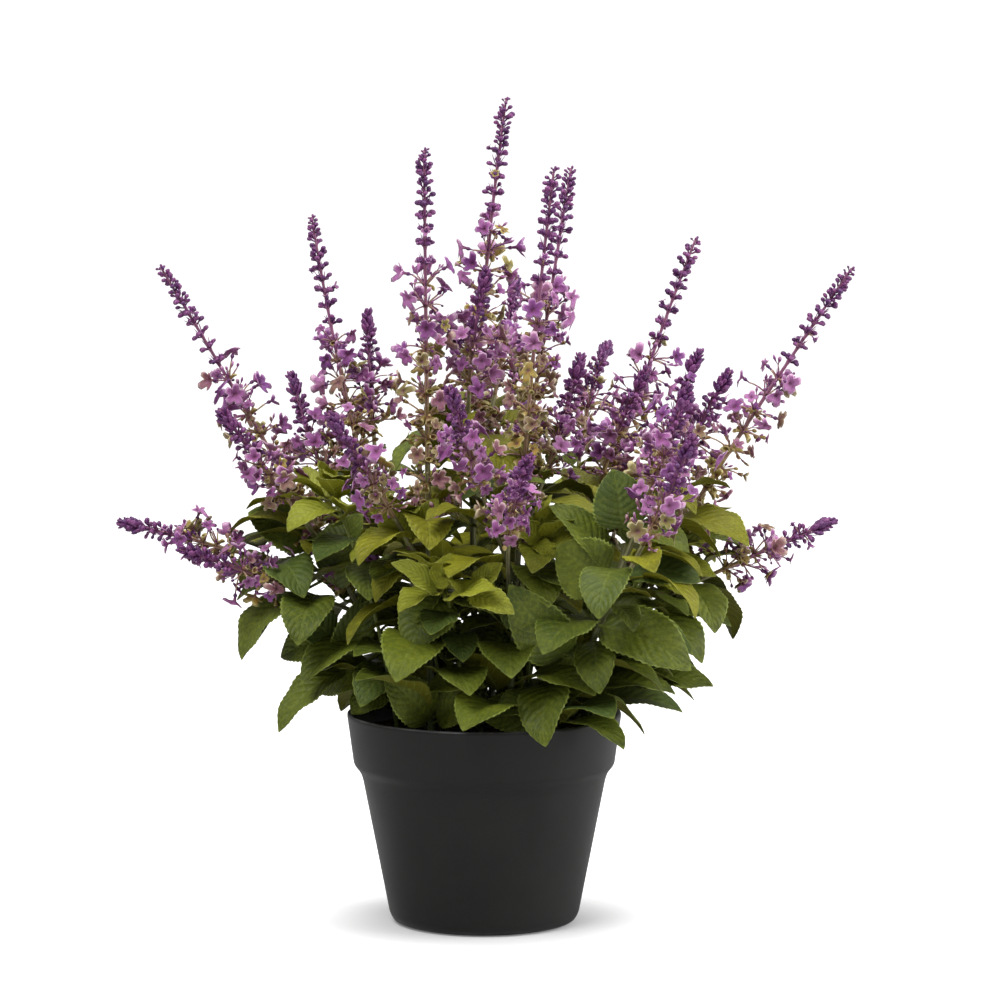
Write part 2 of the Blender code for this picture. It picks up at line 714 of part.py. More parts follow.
class Spray:
    """One leafy stem with its side shoots: where it runs, forks, leafs and starts to flower."""

    def __init__(self, name, hole, bend, tip, shoots):
        self.name, self.mouth = name, Vector(hole) * MM
        self.route, self.way = rooted_route(self.mouth, Vector(bend) * MM, Vector(tip) * MM)
        self.twist = random.Random(name).uniform(0, math.pi / 2)
        self.tall = name != SHORT_TOPPED
        self.top = self.route.length - (TALL_LENGTH if self.tall else SHORT_LENGTH) - SEAT_GAP
        marks = []
        for share, shoot_tip in shoots:
            distance = ROOT_DEPTH + share * (self.route.length - ROOT_DEPTH)
            marks.append((distance, Vector(shoot_tip) * MM))
        forks = [fork for fork, _ in marks]
        for height, pitch in LEAF_PAIRS:
            distance = ROOT_DEPTH + height * MM
            bare = height < BARE_HEIGHT and self.mouth.xy.length < BARE_RADIUS
            if not bare and distance < self.top - 5 * MM and all(abs(distance - fork) > 4 * MM for fork in forks):
                marks.append((distance, pitch))
        marks.sort(key=lambda mark: mark[0])
        neck = ROOT_DEPTH + STRAIGHT_NECK
        self.stations = [(0.0, STEM_HALF_LOW, self.twist), (neck, STEM_HALF_LOW, self.twist)]
        self.grows = [None, None]
        for distance, what in marks:
            half = STEM_HALF_LOW + (STEM_HALF_TOP - STEM_HALF_LOW) * distance / self.top
            self.stations += [(distance + side * NODE_BAND / 2, half, self.twist) for side in (-1, 1)]
            self.grows += [what, None]
        self.stations.append((self.top, STEM_HALF_TOP, self.twist))
        self.bm, self.bands = rod(self.route, self.stations)
        remember_rod(self.route, self.stations[1:])
        remember_rod(self.route, even_stations(self.top, self.route.length, STEM_HALF_TOP, 8))

    def seats(self, number):
        low, high = self.stations[number], self.stations[number + 1]
        return [Seat(self.route, low, high, side) for side in range(4)]

    def lay_shoots(self):
        """Each side shoot leaves by the side that looks most towards its tip."""
        self.shoots, self.shoot_bands = [], []
        for number, tip in enumerate(self.grows):
            if not isinstance(tip, Vector):
                continue
            seats = self.seats(number)
            side = max(range(4), key=lambda k: seats[k].out.dot(tip - seats[k].middle))
            seat = seats[side]
            toward = tip - seat.middle
            aside = seat.out * SHOOT_BEND_OUT + seat.tangent * SHOOT_BEND_UP
            bend = seat.middle + toward * SHOOT_BEND + aside * toward.length
            route = Route(curve_points(seat.middle, bend, tip), seat.tangent)
            face = self.bands[number][side]
            end = route.length - SHORT_LENGTH - SEAT_GAP
            steps = max(1, round(end / SHOOT_STEP))
            leaf_at = end * SHOOT_LEAF_SHARE
            band = [leaf_at - NODE_BAND / 2, leaf_at + NODE_BAND / 2]
            stops = [end * (k + 1) / steps for k in range(steps)]
            stops = sorted([FORK_REACH, *band, *(s for s in stops if abs(s - leaf_at) > SHOOT_STEP / 2)])
            self.shoots.append((route, face, band, stops))
            ring = ring_after(face, route, FORK_REACH, SHOOT_HALF + CLEARANCE)
            remember(ring_shell([[vert.co.copy() for vert in face.verts], ring]))
            remember_rod(route, [(stop, SHOOT_HALF, 0) for stop in stops])
            remember_rod(route, even_stations(end, route.length, SHOOT_HALF, 4))

    def grow_shoots(self):
        for route, face, band, stops in self.shoots:
            for stop in stops:
                face = extrude_to(self.bm, face, ring_after(face, route, stop, SHOOT_HALF))
                if stop == band[1]:
                    self.shoot_bands.append((route, band, side_faces(face)))

    def grow_leaves(self):
        pair = 0
        for number, pitch in enumerate(self.grows):
            if not isinstance(pitch, int):
                continue
            seats = self.seats(number)
            share = (self.stations[number][0] - ROOT_DEPTH) / (self.top - ROOT_DEPTH)
            for side in (pair % 2, pair % 2 + 2):
                grow_leaf(self.bm, self.bands[number][side], seats[side], f"{self.name} {pair} {side}",
                          LEAF_SIZE_LOW - LEAF_SIZE_LOSS * share, math.radians(pitch),
                          LOW_LEAF if share < HIGH_LEAF_SHARE else HIGH_LEAF)
            pair += 1
        for number, (route, band, faces) in enumerate(self.shoot_bands):
            seats = [Seat(route, (band[0], SHOOT_HALF, 0), (band[1], SHOOT_HALF, 0), side) for side in (1, 3)]
            chosen = [max(faces, key=lambda f: f.calc_center_median().dot(seat.out)) for seat in seats]
            for side, (seat, face) in enumerate(zip(seats, chosen)):
                grow_leaf(self.bm, face, seat, f"{self.name} shoot {number} {side}",
                          1.0, SHOOT_LEAF_PITCH, SHOOT_LEAF)


def ring_after(face, route, distance, half):
    """A route's ring, started at the corner that follows the face's first one."""
    ring = route.ring(distance, half, 0)
    start = best_start(face, route.at(distance), ring)
    return ring[start:] + ring[:start]


def side_faces(end):
    """The four sides of the stretch that was drawn out last."""
    return [face for edge in end.edges for face in edge.link_faces if face is not end]


def lime_route(hole, tip):
    """A lime shoot rises steeply and then leans out to its top."""
    hole, tip = Vector(hole) * MM, Vector(tip) * MM
    lean = Vector((tip.x - hole.x, tip.y - hole.y, 0))
    return rooted_route(hole, hole.lerp(tip, 0.5) + Vector((0, 0, LIME_LIFT)) - lean * LIME_LEAN, tip)


def lime_stations(route, twist):
    """The root, the neck, one bend, two leafy bands and the tip of a lime shoot's stalk."""
    middles = [route.length - below * MM for below, _, _ in LIME_PAIRS]
    bands = [distance + side * NODE_BAND / 2 for distance in middles for side in (-1, 1)]
    stops = [0.0, ROOT_DEPTH + STRAIGHT_NECK, route.length * LIME_BEND_SHARE, *bands]
    return [(stop, LIME_HALF, twist) for stop in stops] + [(route.length, LIME_TIP_HALF, twist)]


def grow_lime_shoot(name, route, stations):
    """A stalk with a spreading pair of leaves and an upright pair above it."""
    bm, bands = rod(route, stations)
    for pair, (_, size, pitch) in enumerate(LIME_PAIRS):
        number = 3 + 2 * pair
        for side in (pair, pair + 2):
            seat = Seat(route, stations[number], stations[number + 1], side)
            grow_leaf(bm, bands[number][side], seat, f"{name} {pair} {side}",
                      size, math.radians(pitch), LIME_LEAF)
    object_from(bm, name, "lime")


def main():
    clear_scene()
    pot()
    sprays = [Spray(name, *place) for name, place in SPRAYS.items()]
    limes = [lime_route(hole, tip) for hole, tip in LIME_SHOOTS]
    holes = [(spray.mouth, spray.way, STEM_HALF_LOW) for spray in sprays]
    holes += [(Vector(hole) * MM, way, LIME_HALF) for (hole, _), (_, way) in zip(LIME_SHOOTS, limes)]
    soil(holes)
    for spray in sprays:
        spray.lay_shoots()
    twists = [random.Random(hole[0]).uniform(0, math.pi / 2) for hole, _ in LIME_SHOOTS]
    stalks = [lime_stations(route, twist) for (route, _), twist in zip(limes, twists)]
    for (route, _), stations in zip(limes, stalks):
        remember_rod(route, stations[1:])
    for spray in sprays:
        spray.grow_shoots()
        short_routes = [shoot[0] for shoot in spray.shoots]
        if spray.tall:
            grow_spike(f"tall_spike_{spray.name}", spray.route, TALL_CONE, TALL_BUDS, TALL_BLOOMS,
                       TALL_LENGTH, STEM_HALF_TOP, TALL_SCALE)
        else:
            short_routes.append(spray.route)
        for number, route in enumerate(short_routes):
            grow_spike(f"short_spike_{spray.name}_{number + 1}", route, SHORT_CONE, SHORT_BUDS,
                       SHORT_BLOOMS, SHORT_LENGTH, SHOOT_HALF, SHORT_SCALE)
    for number, ((route, _), stations) in enumerate(zip(limes, stalks)):
        grow_lime_shoot(f"lime_shoot_{number + 1}", route, stations)
    for spray in sprays:
        spray.grow_leaves()
        object_from(spray.bm, f"leafy_stem_{spray.name}", "leaf")


main()
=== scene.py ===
"""A salvia in a matt black pot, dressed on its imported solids: turned pot, crumbly soil, square
leafy stems, lime-green young shoots, and flower spikes of buds and open flowers."""

import math
import random

import bpy
import numpy as np
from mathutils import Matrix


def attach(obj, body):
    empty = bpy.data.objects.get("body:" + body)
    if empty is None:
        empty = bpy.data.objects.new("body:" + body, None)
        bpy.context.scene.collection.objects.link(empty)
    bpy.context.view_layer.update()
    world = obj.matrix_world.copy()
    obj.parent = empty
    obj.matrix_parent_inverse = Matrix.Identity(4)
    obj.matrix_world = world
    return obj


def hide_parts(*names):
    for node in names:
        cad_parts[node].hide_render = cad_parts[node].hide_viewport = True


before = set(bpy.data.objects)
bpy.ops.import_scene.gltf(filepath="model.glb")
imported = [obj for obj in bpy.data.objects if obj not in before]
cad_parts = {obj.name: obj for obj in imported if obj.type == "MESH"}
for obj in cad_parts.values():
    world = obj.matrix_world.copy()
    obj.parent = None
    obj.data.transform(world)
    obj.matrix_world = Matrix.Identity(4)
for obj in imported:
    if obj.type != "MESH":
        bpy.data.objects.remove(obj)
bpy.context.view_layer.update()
MM = 0.001


# Moulded pot. One shell of matt black plastic, injection moulded in one shot: a tapered body on
# a rounded foot, a small step, and a plain upright band that ends in a thin rim.

POT_OUTSIDE = (
    (0, 0), (45, 0), (49.2, 1.2), (51.2, 5), (65.4, 77.5), (66.8, 81.6), (70.3, 86), (74, 113.2), (72.9, 114),
)
POT_INSIDE = ((71.8, 113.4), (68.1, 88.2), (63.8, 80), (47.8, 2.2), (0, 2.2))
POT_ROUNDING = 1.6
POT_SIDES = 96
POT_LIP_HIGHLIGHT = (0.1128, 0.1139)
POT_FOOT = 0.0035
POT_BLACK = (0.0046, 0.0044, 0.0040, 1)
POT_GREY = (0.0086, 0.0083, 0.0076, 1)
# The lighter grey is a painted highlight on the lip's top edge, and rubbed wear on the foot.
POT_HIGHLIGHT_AND_RUBBED = (0.070, 0.070, 0.070, 1)


def rounded(corners, radius, steps=5):
    """A line through corners, each inner one c replaced by the arc (1-t)^2 a + 2t(1-t) c + t^2 b
    between two points a and b on its edges, at most a radius away."""
    corners = np.array(corners, float)
    middle = corners[1:-1]

    def along(way):
        length = np.linalg.norm(way, axis=1, keepdims=True)
        return middle + way / length * np.minimum(radius, 0.45 * length)

    before, after = along(corners[:-2] - middle), along(corners[2:] - middle)
    t = np.linspace(0, 1, steps)[None, :, None]
    arcs = before[:, None] * (1 - t) ** 2 + middle[:, None] * 2 * t * (1 - t) + after[:, None] * t**2
    return np.vstack([corners[:1], arcs.reshape(-1, 2), corners[-1:]])


def tube_faces(rows, columns):
    """Faces of rings joined row by row, whose first and last rows are closed to two poles that
    follow them in the list of points."""
    row, column = np.meshgrid(np.arange(rows - 1), np.arange(columns), indexing="ij")
    here, beside = row * columns + column, row * columns + (column + 1) % columns
    quads = np.stack([here, beside, beside + columns, here + columns], -1).reshape(-1, 4)
    first = np.arange(columns)
    after = (first + 1) % columns
    last = (rows - 1) * columns
    start = np.stack([np.full(columns, rows * columns), after, first], -1)
    end = np.stack([last + first, last + after, np.full(columns, rows * columns + 1)], -1)
    return quads.tolist() + start.tolist() + end.tolist()


class Growth:
    """Gathers the closed tubes of one piece in millimetres, with three numbers at each point
    that its materials read from the attribute called marks."""

    def __init__(self):
        self.places, self.marks, self.faces, self.finishes, self.count = [], [], [], [], 0

    def add(self, places, faces, marks, finish=0):
        """Adds copies of one shape: places and marks are (copies, points, 3)."""
        copies, points, _ = places.shape
        starts = self.count + points * np.arange(copies)
        for size in (3, 4):
            some = np.array([face for face in faces if len(face) == size], int).reshape(-1, size)
            moved = (some[None] + starts[:, None, None]).reshape(-1, size)
            self.faces += moved.tolist()
            self.finishes += [finish] * len(moved)
        self.places.append(places.reshape(-1, 3))
        self.marks.append(np.broadcast_to(marks, places.shape).reshape(-1, 3))
        self.count += copies * points

    def add_tube(self, rings, start, end, marks, finish=0):
        """Adds one tube of (rows, columns, 3) rings closed to its two end points."""
        rows, columns, _ = rings.shape
        places = np.vstack([rings.reshape(-1, 3), [start, end]])
        marks = np.broadcast_to(marks, rings.shape)
        ends = [marks[0].mean(0), marks[-1].mean(0)]
        marks = np.vstack([marks.reshape(-1, 3), ends])
        self.add(places[None], tube_faces(rows, columns), marks[None], finish)

    def piece(self, name, *materials):
        """The finished object at the origin, with its place in its mesh."""
        mesh = bpy.data.meshes.new(name)
        mesh.from_pydata((np.vstack(self.places) * MM).tolist(), [], self.faces)
        mesh.polygons.foreach_set("material_index", self.finishes)
        mesh.attributes.new("marks", "FLOAT_VECTOR", "POINT")
        mesh.attributes["marks"].data.foreach_set("vector", np.vstack(self.marks).astype(np.float32).ravel())
        mesh.shade_smooth()
        for material in materials:
            mesh.materials.append(material)
        made = bpy.data.objects.new(name, mesh)
        bpy.context.scene.collection.objects.link(made)
        return made


def turned(profile, sides):
    """A profile of (radius, height) turned about +Z, whose first and last points are on the
    axis: rings at (radius cos a, radius sin a, height), and the two poles."""
    angle = np.linspace(0, 2 * math.pi, sides, endpoint=False)
    radius, height = profile[1:-1, 0, None], profile[1:-1, 1, None]
    rings = np.stack([radius * np.cos(angle), radius * np.sin(angle), height + 0 * angle], -1)
    return rings, (0, 0, profile[0, 1]), (0, 0, profile[-1, 1])


def put(tree, kind, inputs=(), **settings):
    """A node with its settings. An input given as a socket is linked and any other is set."""
    made = tree.nodes.new("ShaderNode" + kind)
    for name, value in settings.items():
        setattr(made, name, value)
    for name, value in dict(inputs).items():
        feed(tree, made.inputs[name], value)
    return made


def feed(tree, socket, value):
    if isinstance(value, bpy.types.NodeSocket):
        tree.links.new(value, socket)
    else:
        socket.default_value = value


def blend(tree, share, first, second):
    return put(tree, "Mix", {0: share, 6: first, 7: second}, data_type="RGBA").outputs[2]


def calc(tree, operation, *values):
    return put(tree, "Math", dict(enumerate(values)), operation=operation).outputs[0]


def ramp(tree, value, low, high, start=0.0, end=1.0):
    """A smooth step from start to end while the value goes from low to high."""
    inputs = {"Value": value, "From Min": low, "From Max": high, "To Min": start, "To Max": end}
    return put(tree, "MapRange", inputs, interpolation_type="SMOOTHSTEP").outputs[0]


def noise(tree, where, scale, detail=2.0):
    return put(tree, "TexNoise", {"Vector": where, "Scale": scale, "Detail": detail}).outputs["Fac"]


def finish(name, **constants):
    """A material, its tree, its Principled shader with the constants set on it, and the place
    on the piece."""
    material = bpy.data.materials.new(name)
    material.use_nodes = True
    tree = material.node_tree
    shader = tree.nodes["Principled BSDF"]
    for socket, value in constants.items():
        shader.inputs[socket.replace("_", " ")].default_value = value
    return material, tree, shader, put(tree, "TexCoord").outputs["Object"]


def raise_surface(tree, shader, height, distance):
    """Feeds a height in metres times distance to the shader's normal through a Bump node."""
    bump = put(tree, "Bump", {"Height": height, "Distance": distance, "Strength": 1.0})
    tree.links.new(bump.outputs[0], shader.inputs["Normal"])


pot_finish, tree, shader, where = finish("matt_black_plastic", IOR=1.46, Specular_IOR_Level=0.34)
height = put(tree, "SeparateXYZ", {0: where}).outputs["Z"]
cloud = noise(tree, where, 26.0, 4.0)
grain = noise(tree, where, 2600.0, 1.0)
scuff = noise(tree, put(tree, "Mapping", {"Vector": where, "Scale": (90, 90, 620)}).outputs[0], 1.0, 3.0)
# The lip's top edge is painted lighter grey as a highlight, and the foot lighter grey as rubbed wear, both
# broken up by scuff streaks.
lip_highlight = ramp(tree, height, *POT_LIP_HIGHLIGHT)
foot = ramp(tree, height, POT_FOOT, 0.0, 0.0, 0.7)
highlight_and_wear = calc(tree, "MULTIPLY", calc(tree, "MAXIMUM", lip_highlight, foot), ramp(tree, scuff, 0.35, 0.65, 0.35, 1.0))
body = blend(tree, ramp(tree, cloud, 0.3, 0.75), POT_BLACK, POT_GREY)
feed(tree, shader.inputs["Base Color"], blend(tree, highlight_and_wear, body, POT_HIGHLIGHT_AND_RUBBED))
feed(tree, shader.inputs["Roughness"], ramp(tree, cloud, 0.25, 0.8, 0.40, 0.50))
raise_surface(tree, shader, calc(tree, "MULTIPLY_ADD", cloud, 0.6, grain), 0.00006)

pot_growth = Growth()
pot_profile = np.vstack([rounded(POT_OUTSIDE, POT_ROUNDING), rounded(POT_INSIDE, POT_ROUNDING)])
pot_growth.add_tube(*turned(pot_profile, POT_SIDES), (0, 0, 0))
moulded_pot = pot_growth.piece("moulded_pot", pot_finish)
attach(moulded_pot, "root")
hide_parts("pot")


# Potting mix. A plug of dark peat and bark crumbs fills the pot to a finger's breadth under the
# rim and heaps up a little round the stems, with loose crumbs lying on it.

SOIL_WALL = ((0, 2.6), (47.2, 2.6), (63.2, 80), (67.5, 88.2), (69.4, 101.2))
SOIL_RINGS = 34
SOIL_SIDES = 150
SOIL_EDGE = 69.0
SOIL_LEVELS = (102, 105)
SOIL_LUMP = 0.9
CRUMBS = 420
CRUMB_SIZES = (0.7, 2.1)
CRUMB_MARGIN = 3
PEAT = (0.020, 0.012, 0.007, 1)
BARK = (0.085, 0.048, 0.026, 1)
GRIT = (0.26, 0.21, 0.15, 1)


def lumps(x, y, seed, scale):
    """Sum of twelve waves in seeded directions, each with its own phase, between about -1 and 1."""
    chance = np.random.default_rng(seed)
    turn, phase = chance.uniform(0, 2 * math.pi, (2, 12))
    pace = chance.uniform(0.6, 2.4, 12) / scale
    waves = np.sin((x[..., None] * np.cos(turn) + y[..., None] * np.sin(turn)) * pace + phase)
    return waves.sum(-1) / 5


def soil_level(x, y):
    """Height of the soil: a low crown at the middle, with lumps that die out at the pot's wall."""
    share = np.clip(np.hypot(x, y) / SOIL_EDGE, 0, 1)
    low, high = SOIL_LEVELS
    lumpy = lumps(x, y, 11, 5.0) * 0.7 + lumps(x, y, 12, 1.6) * 0.4
    return high + (low - high) * share**2 + lumpy * SOIL_LUMP * (1 - share**6)


soil_finish, tree, shader, where = finish("potting_mix", IOR=1.4)
crumb = put(tree, "TexVoronoi", {"Vector": where, "Scale": 620.0}).outputs
patch = noise(tree, where, 120.0, 5.0)
brown = blend(tree, ramp(tree, patch, 0.35, 0.7), PEAT, BARK)
speck = ramp(tree, noise(tree, where, 900.0, 2.0), 0.66, 0.74)
feed(tree, shader.inputs["Base Color"], blend(tree, speck, brown, GRIT))
feed(tree, shader.inputs["Roughness"], ramp(tree, patch, 0.3, 0.7, 0.82, 0.97))
raise_surface(tree, shader, calc(tree, "SUBTRACT", patch, crumb["Distance"]), 0.0009)

soil_growth = Growth()
soil_profile = np.array(SOIL_WALL + ((SOIL_EDGE, SOIL_LEVELS[0]), (0, 0)), float)
wall_rings, soil_floor, _ = turned(soil_profile, SOIL_SIDES)
ring_radii = SOIL_EDGE * np.linspace(1, 0.02, SOIL_RINGS)[:, None]
soil_turns = np.linspace(0, 2 * math.pi, SOIL_SIDES, endpoint=False)
soil_x, soil_y = ring_radii * np.cos(soil_turns), ring_radii * np.sin(soil_turns)
soil_top = np.stack([soil_x, soil_y, soil_level(soil_x, soil_y)], -1)
soil_rings = np.concatenate([wall_rings[:-1], soil_top])
soil_growth.add_tube(soil_rings, soil_floor, soil_top[-1].mean(0), (0, 0, 0))

chance = np.random.default_rng(5)
crumb_reach = (SOIL_EDGE - CRUMB_MARGIN) * np.sqrt(chance.uniform(0, 1, CRUMBS))
crumb_turn = chance.uniform(0, 2 * math.pi, CRUMBS)
crumb_x, crumb_y = crumb_reach * np.cos(crumb_turn), crumb_reach * np.sin(crumb_turn)
ball_rise = np.linspace(0.75, 0.25, 3) * math.pi
ball_profile = np.stack([np.sin(ball_rise), np.cos(ball_rise)], -1)[[0, 0, 1, 2, 2]]
ball = np.vstack([turned(ball_profile, 6)[0].reshape(-1, 3), [(0, 0, -1), (0, 0, 1)]])
crumb_size = chance.uniform(*CRUMB_SIZES, (CRUMBS, 1, 1)) * chance.uniform(0.5, 1.0, (CRUMBS, 1, 3))
crumbs = ball * crumb_size * chance.uniform(0.75, 1.2, (CRUMBS, len(ball), 1))
crumbs += np.stack([crumb_x, crumb_y, soil_level(crumb_x, crumb_y) + 0.2], -1)[:, None]
soil_growth.add(crumbs, tube_faces(3, 6), np.zeros((1, 1, 3)))
potting_mix = soil_growth.piece("crumbly_potting_mix", soil_finish)
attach(potting_mix, "root")
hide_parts("soil")


# Leafy stems. Nine square, grooved stems rise from the soil and fork into side shoots, and at each
# node stands an opposite pair of toothed leaves on short petioles. All of one stem grew as one.

ROOT_DEPTH = 24
NECK = 6
STEM_LOW, STEM_TOP, SHOOT_HALF, SHOOT_FOOT = 1.8, 1.3, 1.0, 1.2
NODE_BAND = 2.4
TALL_SPIKE, SHORT_SPIKE = 165, 72
SEAT_GAP = 0.3
LOW_LEAF = (50, 34, 10)
SHOOT_LEAF = (43, 29, 9)
LEAF_PAIRS = ((12, 46), (30, 26), (49, 4), (69, 8), (91, 14), (114, 26))
BARE_RADIUS, BARE_HEIGHT, FORK_ROOM = 16, 40, 4
SHOOT_LEAF_SHARE, SHOOT_LEAF_PITCH = 0.58, 6
LEAF_FOLD = math.radians(13)
LEAF_DROOP = math.radians(70)
OUTWARD_PULL = 0.8
LEAF_TURNS = (
    (0, 0, 1.0), (20, 8, 1.0), (-20, 8, 1.0), (0, 24, 1.0), (0, -20, 1.0),
    (40, 0, 1.0), (-40, 0, 1.0), (24, 32, 0.95), (-24, 32, 0.95), (24, -24, 0.95),
    (-24, -24, 0.95), (56, 20, 0.9), (-56, 20, 0.9), (0, 48, 0.9), (40, 44, 0.8),
    (-40, 44, 0.8), (64, -10, 0.8), (-64, -10, 0.8), (0, 64, 0.65), (30, 60, 0.55),
)
SAME_TIP = 0.15
LEAF, STALK, OTHER_LEAF = range(3)
OLIVE_HEIGHTS = (150, 205)
OLIVE_SHARE = 0.62
OLIVE_LEAVES = ("front shoot 0 0", "front 3 1", "centre 1 1", "centre 2 2", "left_front 4 2", "left_back 4 2")
FULLER_HEIGHTS = (8, 20, 32, 44, 56, 64, 79, 100, 121)
FULLER_ON_SHOOTS = (0.25, 0.80)
FULLER_SIZES = (0.58, 0.98)
FULLER_PITCHES = (-6, 40)
FRONT_RINGED, BACK_RINGED = 42, 105
ROOM_CORNER = np.array((-225, -165, 85))
ROOM_SIZE = (450, 330, 380)
ROOM_CELL = 2.5
CROWDED = 0.10
RIM_RADIUS, RIM_HEIGHTS, SOIL_REACH, SOIL_HEIGHT = 73, (90, 114), 72, 104
LIME_RADIUS, LIME_TOP_LEAVES, LIME_HEIGHTS = 20, 25, (-12, 20)
HUNG_DROOP = math.radians(58)

# The leaves that show most from the front, in millimetres: their stem, how far up it and on which
# side they grow, where the blade begins and ends, its width and the way that it faces.
HUNG_LEAVES = (
    ("left", 103, 1, (-89, 3, 190), (-133, 0, 174), 26, (-0.2, -0.35, 1)),
    ("left", 97, 1, (-104, -1, 176), (-130, -10, 143), 30, (-0.7, -0.5, 0.5)),
    ("left", 40, 3, (-62, 8, 138), (-90, 14, 122), 26, (-0.3, -0.8, 0.5)),
    ("left", 62, 3, (-80, 4, 153), (-110, 8, 142), 25, (-0.2, -0.8, 0.6)),
    ("left", 67, 1, (-82, -2, 153), (-111, -13, 180), 24, (-0.2, -0.9, 0.6)),
    ("left", 48, 1, (-75, -4, 136), (-110, -18, 105), 27, (-0.5, -0.5, 0.7)),
    ("left", 92, 3, (-80, 0, 182), (-65, -8, 223), 28, (-0.5, -0.9, 0.2)),
    ("left", 117, 1, (-93, 5, 204), (-127, 5, 221), 28, (0.0, -0.9, 0.5)),
    ("left", 57, 2, (-77, -3, 145), (-61, -15, 182), 22, (0.3, -0.9, 0.3)),
    ("left", 29, 1, (-53, -3, 126), (-71, -13, 114), 22, (-0.3, -0.8, 0.5)),
    ("left_front", 76, 2, (-22, -45, 181), (-40, -62, 156), 32, (-0.1, -0.9, 0.5)),
    ("left_front", 26, 3, (-31, -40, 131), (1, -56, 135), 24, (0.1, -0.6, 0.9)),
    ("left_front", 11, 2, (-29, -38, 116), (-53, -51, 141), 26, (-0.2, -0.9, 0.5)),
    ("left_front", 12, 3, (-25, -37, 117), (-3, -49, 127), 22, (0.3, -0.9, 0.5)),
    ("centre", 57, 3, (-12, -5, 161), (17, -19, 149), 24, (0.1, -0.6, 0.8)),
    ("front_right", 55, 1, (41, -58, 152), (13, -80, 193), 32, (-0.2, -0.95, 0.3)),
    ("front_right", 97, 1, (61, -68, 194), (38, -77, 213), 36, (-0.2, -1, 0.3)),
    ("front_right", 106, 1, (63, -67, 202), (34, -71, 233), 26, (0.1, -0.6, 0.9)),
    ("front_right", 73, 3, (62, -65, 169), (108, -83, 148), 36, (0.1, -0.8, 0.7)),
    ("front_right", 107, 3, (77, -70, 197), (113, -80, 194), 30, (0.0, -0.6, 0.9)),
    ("front_right", 130, 3, (79, -73, 221), (107, -77, 209), 25, (0.2, -0.5, 0.9)),
    ("front_right", 129, 1, (73, -73, 222), (67, -77, 253), 32, (0.1, -1, 0.1)),
    ("front_right", 15, 1, (33, -42, 124), (6, -60, 120), 24, (-0.1, -0.6, 0.9)),
    ("front_right", 30, 2, (39, -48, 134), (63, -59, 146), 24, (0.1, -0.9, 0.5)),
    ("front_right", 5, 1, (32, -39, 111), (-5, -50, 121), 30, (-0.1, -0.9, 0.7)),
    ("right", 41, 3, (82, -4, 129), (123, -11, 129), 26, (0.1, -0.55, 0.9)),
    ("right", 84, 0, (95, -1, 170), (133, -1, 160), 24, (0.2, -0.4, 0.9)),
    ("right", 43, 3, (62, -5, 142), (103, -13, 150), 26, (0.2, -0.9, 0.2)),
)

# Each stem in millimetres: its hole in the soil, the point that it bends towards and its tip,
# then the share of it at which each side shoot forks, and that shoot's tip.
SPRAYS = {
    "left": ((-32, 0, 104), (-90, 6, 215), (-174, 10, 354),
             ((0.25, (-162, -40, 207)), (0.31, (-199, 15, 215)), (0.37, (-140, -45, 282)))),
    "left_back": ((-24, 28, 104), (-72, 52, 235), (-95, 75, 378),
                  ((0.30, (-107, 80, 292)), (0.36, (-65, 104, 325)))),
    "left_front": ((-28, -30, 104), (-30, -42, 260), (-31, -55, 419),
                   ((0.28, (-81, -85, 284)),)),
    "centre": ((-2, 4, 104), (-14, 0, 260), (12, 0, 444),
               ((0.36, (2, -45, 357)), (0.40, (17, 60, 346)))),
    "front": ((14, -36, 104), (18, -48, 260), (37, -45, 409),
              ((0.22, (24, -135, 266)), (0.28, (-18, -115, 300)), (0.35, (52, -10, 309)))),
    "back": ((2, 42, 104), (22, 66, 250), (48, 95, 404),
             ((0.26, (22, 140, 276)), (0.33, (-20, 120, 311)))),
    "right_back": ((30, 24, 104), (66, 44, 240), (116, 60, 367),
                   ((0.30, (70, 130, 305)), (0.36, (89, 10, 300)))),
    "right": ((42, 0, 104), (102, -2, 215), (197, 0, 354),
              ((0.25, (189, -10, 219)), (0.33, (130, -50, 303)))),
    "front_right": ((36, -32, 104), (72, -72, 195), (107, -85, 299),
                    ((0.36, (108, -124, 276)), (0.42, (114, -46, 314)))),
}
SHORT_TOPPED = "front_right"
FRONT_OF = 5


def unit(way):
    return way / np.linalg.norm(way, axis=-1, keepdims=True)


def column(values):
    return np.asarray(values, float)[..., None]


class Route:
    """A stem's line by the distance along it, with a side way that follows it untwisted: at
    each point the last side way less its part along the stem."""

    def __init__(self, points, side=(1.0, 0.0, 0.0)):
        self.points = np.array(points, float)
        steps = np.diff(self.points, axis=0)
        self.reach = np.concatenate([[0], np.cumsum(np.linalg.norm(steps, axis=1))])
        self.length = self.reach[-1]
        self.ways = unit(steps)
        self.sides = []
        side = np.array(side, float)
        for way in self.ways[self.stretch(self.reach)[0]]:
            side = unit(side - way * side.dot(way))
            self.sides.append(side)
        self.sides = np.array(self.sides)

    def stretch(self, distance):
        distance = np.asarray(distance, float)
        i = np.clip(np.searchsorted(self.reach[1:], distance), 0, len(self.ways) - 1)
        return i, (distance - self.reach[i]) / (self.reach[i + 1] - self.reach[i])

    def at(self, distance):
        i, share = self.stretch(distance)
        return self.points[i] + (self.points[i + 1] - self.points[i]) * column(share)

    def way(self, distance):
        return self.ways[self.stretch(distance)[0]]

    def out(self, distance, turn):
        """The way square to the stem at an angle round it."""
        i, share = self.stretch(distance)
        side = unit(self.sides[i] + (self.sides[i + 1] - self.sides[i]) * column(share))
        way = self.ways[i]
        along = way * column((side * way).sum(-1)) * column(1 - np.cos(turn))
        return side * column(np.cos(turn)) + np.cross(way, side) * column(np.sin(turn)) + along


def curve(start, bend, end, steps=48):
    """The quadratic curve (1-t)^2 start + 2t(1-t) bend + t^2 end."""
    t = np.linspace(0, 1, steps + 1)[:, None]
    start, bend, end = (np.array(point, float) for point in (start, bend, end))
    return start * (1 - t) ** 2 + bend * 2 * t * (1 - t) + end * t**2


